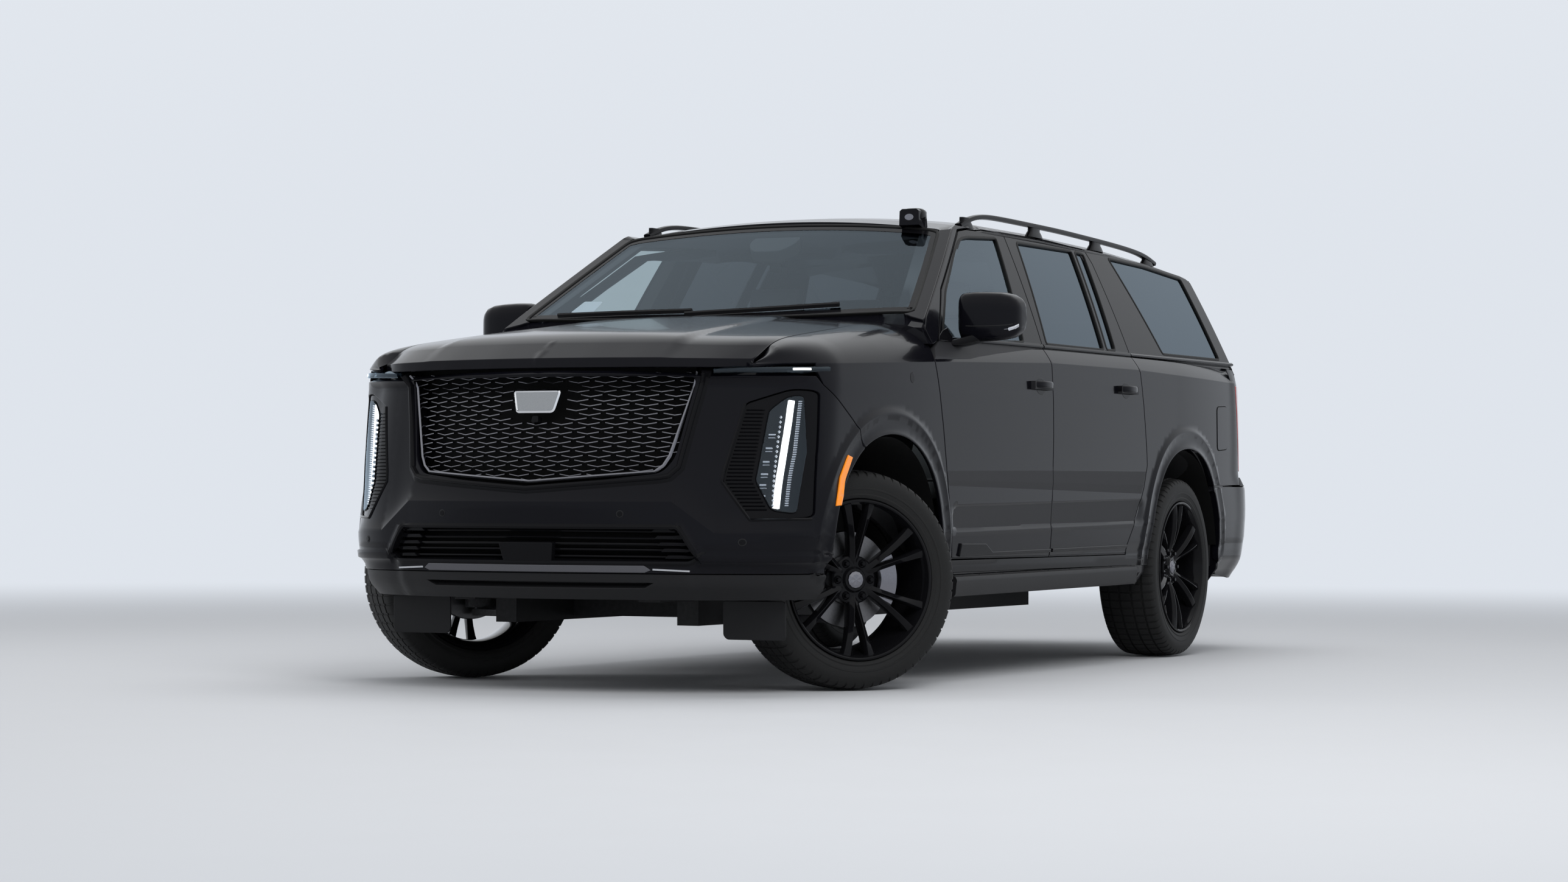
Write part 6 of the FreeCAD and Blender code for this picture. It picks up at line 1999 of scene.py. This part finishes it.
def make_tail():
    make_ledges()
    post = [(0.850, 1.345), (0.808, 1.560), (0.748, 1.800)]
    outer_edge = [(float(house_x(np.array(z))) - 0.002, z) for z in np.linspace(1.810, 1.350, 14)]
    panel("pillar_back", "chassis", "body_paint", post + outer_edge,
          back_screen, "paint", 0.03, gap=0.0, roll=0.004, depth=0.03)
    lamp = np.array(TAIL_LAMP_OUTER + [tuple(p) for p in on_tail(TAIL_LAMP_INNER)])
    panel("tail_lamp_lens", "chassis", "red_lamp", rounded(lamp, 0.02), tail, "red_lens", 0.015,
          gap=0.002, roll=0.004, depth=0.03, replaces=("tail_lamps",))
    for k, (z0, z1, kind) in enumerate(((0.935, 0.985, "reflector"), (1.075, 1.090, "chrome"))):
        band = [(0.885, z0), (0.945, z0 + 0.004), (0.945, z1 + 0.004), (0.885, z1)]
        panel(f"tail_lamp_band_{k}", "chassis", "clear_lamp", on_tail(rounded(band, 0.006)), tail,
              kind, 0.012, gap=0, roll=0.002, depth=0.006, offset=0.002)
    top = [(TAIL_MID, 0.797), (2.9, 0.799), (2.5, 0.800), (2.28, 0.799), (1.930, 0.796)]
    arch = arch_part(REAR_ARCH, lo=1.932)
    low = [(2.045, 0.44), (2.16, 0.372), (2.35, 0.352), (2.7, 0.350), (TAIL_MID, 0.350)]
    half = top + arch + low
    other = list(across_middle(half[-2:0:-1], TAIL_MID))
    rows = [[(u, z) for u in np.linspace(2.12, 2 * TAIL_MID - 2.12, 120)] for z in (0.520, 0.530)]
    rows += REAR_LIP + [across_middle(row, TAIL_MID) for row in REAR_LIP]
    panel("tail_bumper", "chassis", "body_paint", half + other, tail, "paint", 0.026, lines=rows,
          sides=(1,), gap=0.0, depth=0.03, replaces=("rear_bumper",))
    skid = on_tail(mirrored_half([(0.0, 0.362), (0.50, 0.364), (0.66, 0.430), (0.62, 0.505),
                                  (0.0, 0.505)]))
    panel("tail_skid", "chassis", "trim_black", skid, tail, "satin_dark", 0.03, sides=(1,), gap=0,
          offset=0.004, roll=0.005, depth=0.01)
    low = [(2.345, 0.803), (2.7, 0.803)]
    top = [(2.7, 0.846), (2.350, 0.846)]
    ring = (low + [(TAIL_MID, 0.803)] + list(across_middle(low[::-1], TAIL_MID))
            + list(across_middle(top[::-1], TAIL_MID)) + [(TAIL_MID, 0.846)] + top)
    panel("step_pad", "chassis", "trim_black", ring, tail, "matte", 0.03, sides=(1,), gap=0.0,
          roll=0.002, depth=0.02)
    for k, x in enumerate(np.linspace(-0.62, 0.62, 5)):
        rib = on_tail([(x - 0.10, 0.826), (x, 0.826), (x + 0.10, 0.826)])
        sweep(f"step_pad_rib_{k}", "chassis", "trim_black", tail, rib,
              [(-0.009, -0.003), (-0.008, 0.004), (0.008, 0.004), (0.009, -0.003)], "rubber",
              sides=(1,), spacing=0.03)
    for k, x in enumerate((0.36, 0.72)):
        dot = on_tail(circle(x, 0.655, 0.013, 20))
        panel(f"tail_sensor_{k}", "chassis", "trim_black", dot, tail, "matte", 0.01, gap=0,
              offset=0.002, roll=0.001, depth=0.004)
    reflex = on_tail(rounded([(0.700, 0.560), (0.860, 0.560), (0.860, 0.590), (0.700, 0.590)],
                             0.006))
    panel("tail_reflector", "chassis", "red_lamp", reflex, tail, "red_lens", 0.02, gap=0,
          offset=0.003, roll=0.002, depth=0.005)
    flap = rounded([(1.990, 0.972), (2.158, 0.982), (2.152, 1.187), (1.984, 1.180)], 0.03)
    # Dark ring a little wider than the flap, just under it: painted shade of the shut line round
    # the fuel flap.
    panel("fuel_flap_shade_ring", "chassis", "trim_black", grown(flap, 0.004), side, "liner_and_shade", 0.02,
          gap=0, offset=0.0012, roll=0.0008, depth=0.003, sides=(1,))
    panel("fuel_flap", "chassis", "body_paint", flap, side, "paint", 0.02, gap=0, offset=0.003,
          roll=0.0025, depth=0.005, sides=(1,))


# Cabin

def cushion(width, length, thick, channels, bolster=0.07, groove=0.007):
    """Crowned pad with rolled sides, raised bolsters, sewn channels and a piped edge."""
    nu, nv = (33, 37) if channels else (21, 17)
    a = np.sin(np.linspace(-1, 1, nu) * math.pi / 2)
    b = np.sin(np.linspace(-1, 1, nv) * math.pi / 2)
    ga, gb = np.meshgrid(a, b)
    dome = (1 - np.abs(ga) ** 6) ** 0.35 * (1 - np.abs(gb) ** 6) ** 0.35
    crown = 0.78 + 0.12 * np.cos(ga * math.pi / 2) * np.cos(gb * math.pi / 2)
    edge = 1 - 2 * bolster / width
    side_roll = 0.22 * np.exp(-((np.abs(ga) - (edge + 1) / 2) / (0.42 * (1 - edge) + 0.05)) ** 2)
    x, y = ga * width / 2, gb * length / 2
    pull = 1 - 0.03 * np.abs(gb) ** 6 * np.abs(ga) ** 6
    x, y = x * pull, y * pull
    z = thick * dome * (crown + side_roll) / 1.06
    seam = np.exp(-((np.abs(ga) - edge) * width / 2 / 0.0065) ** 2)
    for c in channels:
        seam = np.maximum(seam, np.exp(-((gb - c) * length / 2 / 0.006) ** 2)
                          * (np.abs(ga) < edge))
    z = z - groove * seam * (dome > 0.5)
    top = np.stack([x, y, z], -1).reshape(-1, 3)
    low = np.stack([x, y, -0.10 * thick * dome], -1).reshape(-1, 3)
    polys = []
    for j in range(nv - 1):
        for i in range(nu - 1):
            q = (j * nu + i, j * nu + i + 1, (j + 1) * nu + i + 1, (j + 1) * nu + i)
            polys.append(q)
            polys.append(tuple(k + nu * nv for k in reversed(q)))
    rim = ([(0, i) for i in range(nu)] + [(j, nu - 1) for j in range(1, nv)]
           + [(nv - 1, i) for i in range(nu - 2, -1, -1)] + [(j, 0) for j in range(nv - 2, 0, -1)])
    rim = [j * nu + i for j, i in rim]
    for k, p in enumerate(rim):
        q = rim[(k + 1) % len(rim)]
        polys.append((q, p, p + nu * nv, q + nu * nv))
    return np.concatenate([top, low]), polys


def set_at(points, origin, along, up):
    """Points of a pad carried to a place: y runs along one direction, z along the other."""
    along, up = np.array(along, float), np.array(up, float)
    along /= np.linalg.norm(along)
    up -= along * (up @ along)
    up /= np.linalg.norm(up)
    across = np.cross(along, up)
    return (np.asarray(origin, float) + points[:, :1] * across + points[:, 1:2] * along
            + points[:, 2:] * up)


def pad_piece(name, width, length, thick, channels, origin, along, up, bolster=0.07,
              replaces=()):
    """Soft pad of a seat at a place, facing a direction."""
    verts, polys = cushion(width, length, thick, channels, bolster)
    obj = solid_piece(name, "chassis", "seat_leather", set_at(verts, origin, along, up), polys,
                      "leather", 60, replaces)
    mod = obj.modifiers.new("soft", "SUBSURF")
    mod.levels = mod.render_levels = 1
    return obj


def make_seat(tag, x, y, floor, width, depth=0.52, high=0.69, rests=(0.0,), replaces=()):
    """Cushion on a base, a leaning backrest with its back, and head rests."""
    z = floor + 0.30
    channels = (-0.55, -0.22, 0.11, 0.44)
    pad_piece(f"cushion_{tag}", width - 0.006, depth - 0.01, 0.105, channels,
              (x, y + depth / 2, z - 0.008), (0, 1, 0), (0, 0, 1), replaces=replaces)
    base = [(y + 0.030, z - 0.085), (y + 0.015, z - 0.01), (y + depth - 0.03, z - 0.01),
            (y + depth - 0.06, z - 0.085)]
    ring = rounded(base, 0.02)
    mid = ring.mean(0)
    sections = []
    for k, share in ((-1, (0.95, 0.9)), (-0.97, (1, 1)), (0.97, (1, 1)), (1, (0.95, 0.9))):
        rows = mid + (ring - mid) * share
        sections.append([(x + k * (width / 2 - 0.012), a, b) for a, b in rows])
    loft(f"seat_base_{tag}", "chassis", "cabin_plastic", sections, "cabin", 40)
    foot = (y + depth + 0.010, floor + 0.330)
    head = (y + depth + 0.180, floor + 0.400 + high)
    lean = np.array([0, head[0] - foot[0], head[1] - foot[1]])
    length = float(np.linalg.norm(lean))
    front = np.array([0, -lean[2], lean[1]]) / length
    mid = np.array([x, (foot[0] + head[0]) / 2, (foot[1] + head[1]) / 2])
    pad_piece(f"backrest_{tag}", width - 0.010, length - 0.012, 0.085, (-0.45, -0.15, 0.15, 0.45),
              mid - front * 0.030, lean, front)
    pad_piece(f"seat_back_{tag}", width - 0.030, length - 0.02, 0.045, (), mid - front * 0.036,
              lean, -front, bolster=0.03)
    for k, dx in enumerate(rests):
        at = np.array([x + dx, head[0] + 0.002, head[1] + 0.068])
        pad_piece(f"head_rest_{tag}_{k}", 0.255, 0.150, 0.052, (), at, lean, front,
                  bolster=0.02)
        pad_piece(f"head_rest_back_{tag}_{k}", 0.250, 0.146, 0.036, (), at - front * 0.004, lean,
                  -front, bolster=0.02)


CABIN_FLOOR, THIRD_FLOOR = 0.44, 0.725
COLUMN_RAKE, WHEEL_RIM_R, WHEEL_CENTRE = 0.46, 0.185, (0.4, -0.8, 1.165)


def make_seats():
    make_seat("driver", 0.40, -0.64, CABIN_FLOOR, 0.53, replaces=("front_seats",))
    make_seat("passenger", -0.40, -0.64, CABIN_FLOOR, 0.53)
    make_seat("second_left", 0.43, 0.27, CABIN_FLOOR, 0.54, replaces=("rear_seats",))
    make_seat("second_right", -0.43, 0.27, CABIN_FLOOR, 0.54)
    make_seat("third", 0.0, 1.30, THIRD_FLOOR, 1.04, depth=0.42, high=0.48, rests=(-0.29, 0.29))


def make_steering_wheel():
    turns = np.linspace(0, 2 * math.pi, 64, endpoint=False)
    size = math.hypot(1, COLUMN_RAKE)
    axis = np.array([0, 1, COLUMN_RAKE]) / size
    flat_up = np.array([0, -COLUMN_RAKE, 1]) / size
    centre = np.array(WHEEL_CENTRE)
    spin = np.array([np.array([math.cos(t), 0, 0]) + flat_up * math.sin(t) for t in turns])
    shape = np.array(circle(0, 0, 1, 14)) * [0.0145, 0.0135]
    run_profile("steering_rim", "chassis", "cabin_plastic", centre + WHEEL_RIM_R * spin, spin,
                np.tile(axis, (64, 1)), shape, "leather", closed=True, sides=(1,),
                replaces=("steering_wheel",))
    ring = oval(24, 3.2)
    hub = [[centre + axis * d + np.array([1, 0, 0]) * a * w + flat_up * b * h for a, b in ring]
           for d, w, h in ((-0.075, 0.040, 0.040), (-0.020, 0.066, 0.056), (0.004, 0.070, 0.058),
                           (0.012, 0.060, 0.048))]
    loft("steering_hub", "chassis", "cabin_plastic", np.array(hub), "cabin", 40)
    for k, t in enumerate((0.12, math.pi - 0.12, -math.pi / 2)):
        out = np.array([math.cos(t), 0, 0]) + flat_up * math.sin(t)
        across = np.cross(out, axis)
        arm = [[centre + out * r + across * a * w + axis * (b * 0.008 - 0.004) for a, b in ring]
               for r, w in ((0.045, 0.030), (0.10, 0.020), (0.176, 0.014))]
        loft(f"steering_spoke_{k}", "chassis", "cabin_plastic", np.array(arm), "gloss", 40)


# Carried nodes: their finishes by the start of the name, and paint for the rest

CARRIED = {
    "tyre": "rubber", "wheel": "wheel_black", "front_seats": "leather", "rear_seats": "leather",
    "grille": "gloss", "headlamps": "gloss", "tail_lamps": "red_lens", "running_boards": "matte",
    "roof_rails": "matte", "chassis_frame": "chassis", "floor_pan": "carpet",
    "front_axle": "cast", "rear_axle": "cast", "knuckle": "cast", "engine": "cast",
    "radiator": "chassis", "underbody": "chassis", "dashboard": "cabin",
    "steering_wheel": "leather", "mirror": "gloss", "door": "cabin",
}
# How far the body and the doors are drawn in under their skins
BODY_INSET, DOOR_INSET = 0.012, 0.005


def draw_in(node, distance):
    """Draw a node in by a distance, so that its skins lie outside it."""
    mod = node.modifiers.new("drawn_in", "DISPLACE")
    mod.mid_level = 0
    mod.strength = distance
    return mod


def dress_nodes():
    for name, node in frame["nodes"].items():
        kind = next((k for word, k in CARRIED.items() if name.startswith(word)), "paint")
        node.data.materials.clear()
        node.data.materials.append(finish(kind))
        if name == "body_shell":
            weld = node.modifiers.new("weld", "WELD")
            weld.merge_threshold = 1e-5
            draw_in(node, -BODY_INSET)
        elif name.startswith("door_"):
            draw_in(node, -DOOR_INSET if "left" in name else DOOR_INSET).direction = "X"


# Everything in its order

make_camera()
make_studio()
glass_finish("side_glass", (0.62, 0.68, 0.66), 1.0)
glass_finish("privacy_glass", (0.045, 0.05, 0.055), 1.0)
glass_finish("screen_glass", (0.66, 0.74, 0.78), 0.75)
glass_finish("lens_glass", (0.90, 0.93, 0.95), 1.0)
glass_finish("strip_glass", (0.30, 0.33, 0.36), 1.0)
make_wings()
make_doors()
make_quarters()
make_roof()
make_hood()
make_bumper()
make_valance()
make_grille()
make_intake()
make_lamps()
make_wheels()
make_liners()
make_flaps()
make_screen()
make_cowl()
make_mirrors()
make_handles()
make_sills()
make_boards()
make_rails()
make_roof_pod()
make_gate()
make_tail()
make_seats()
make_steering_wheel()
dress_nodes()
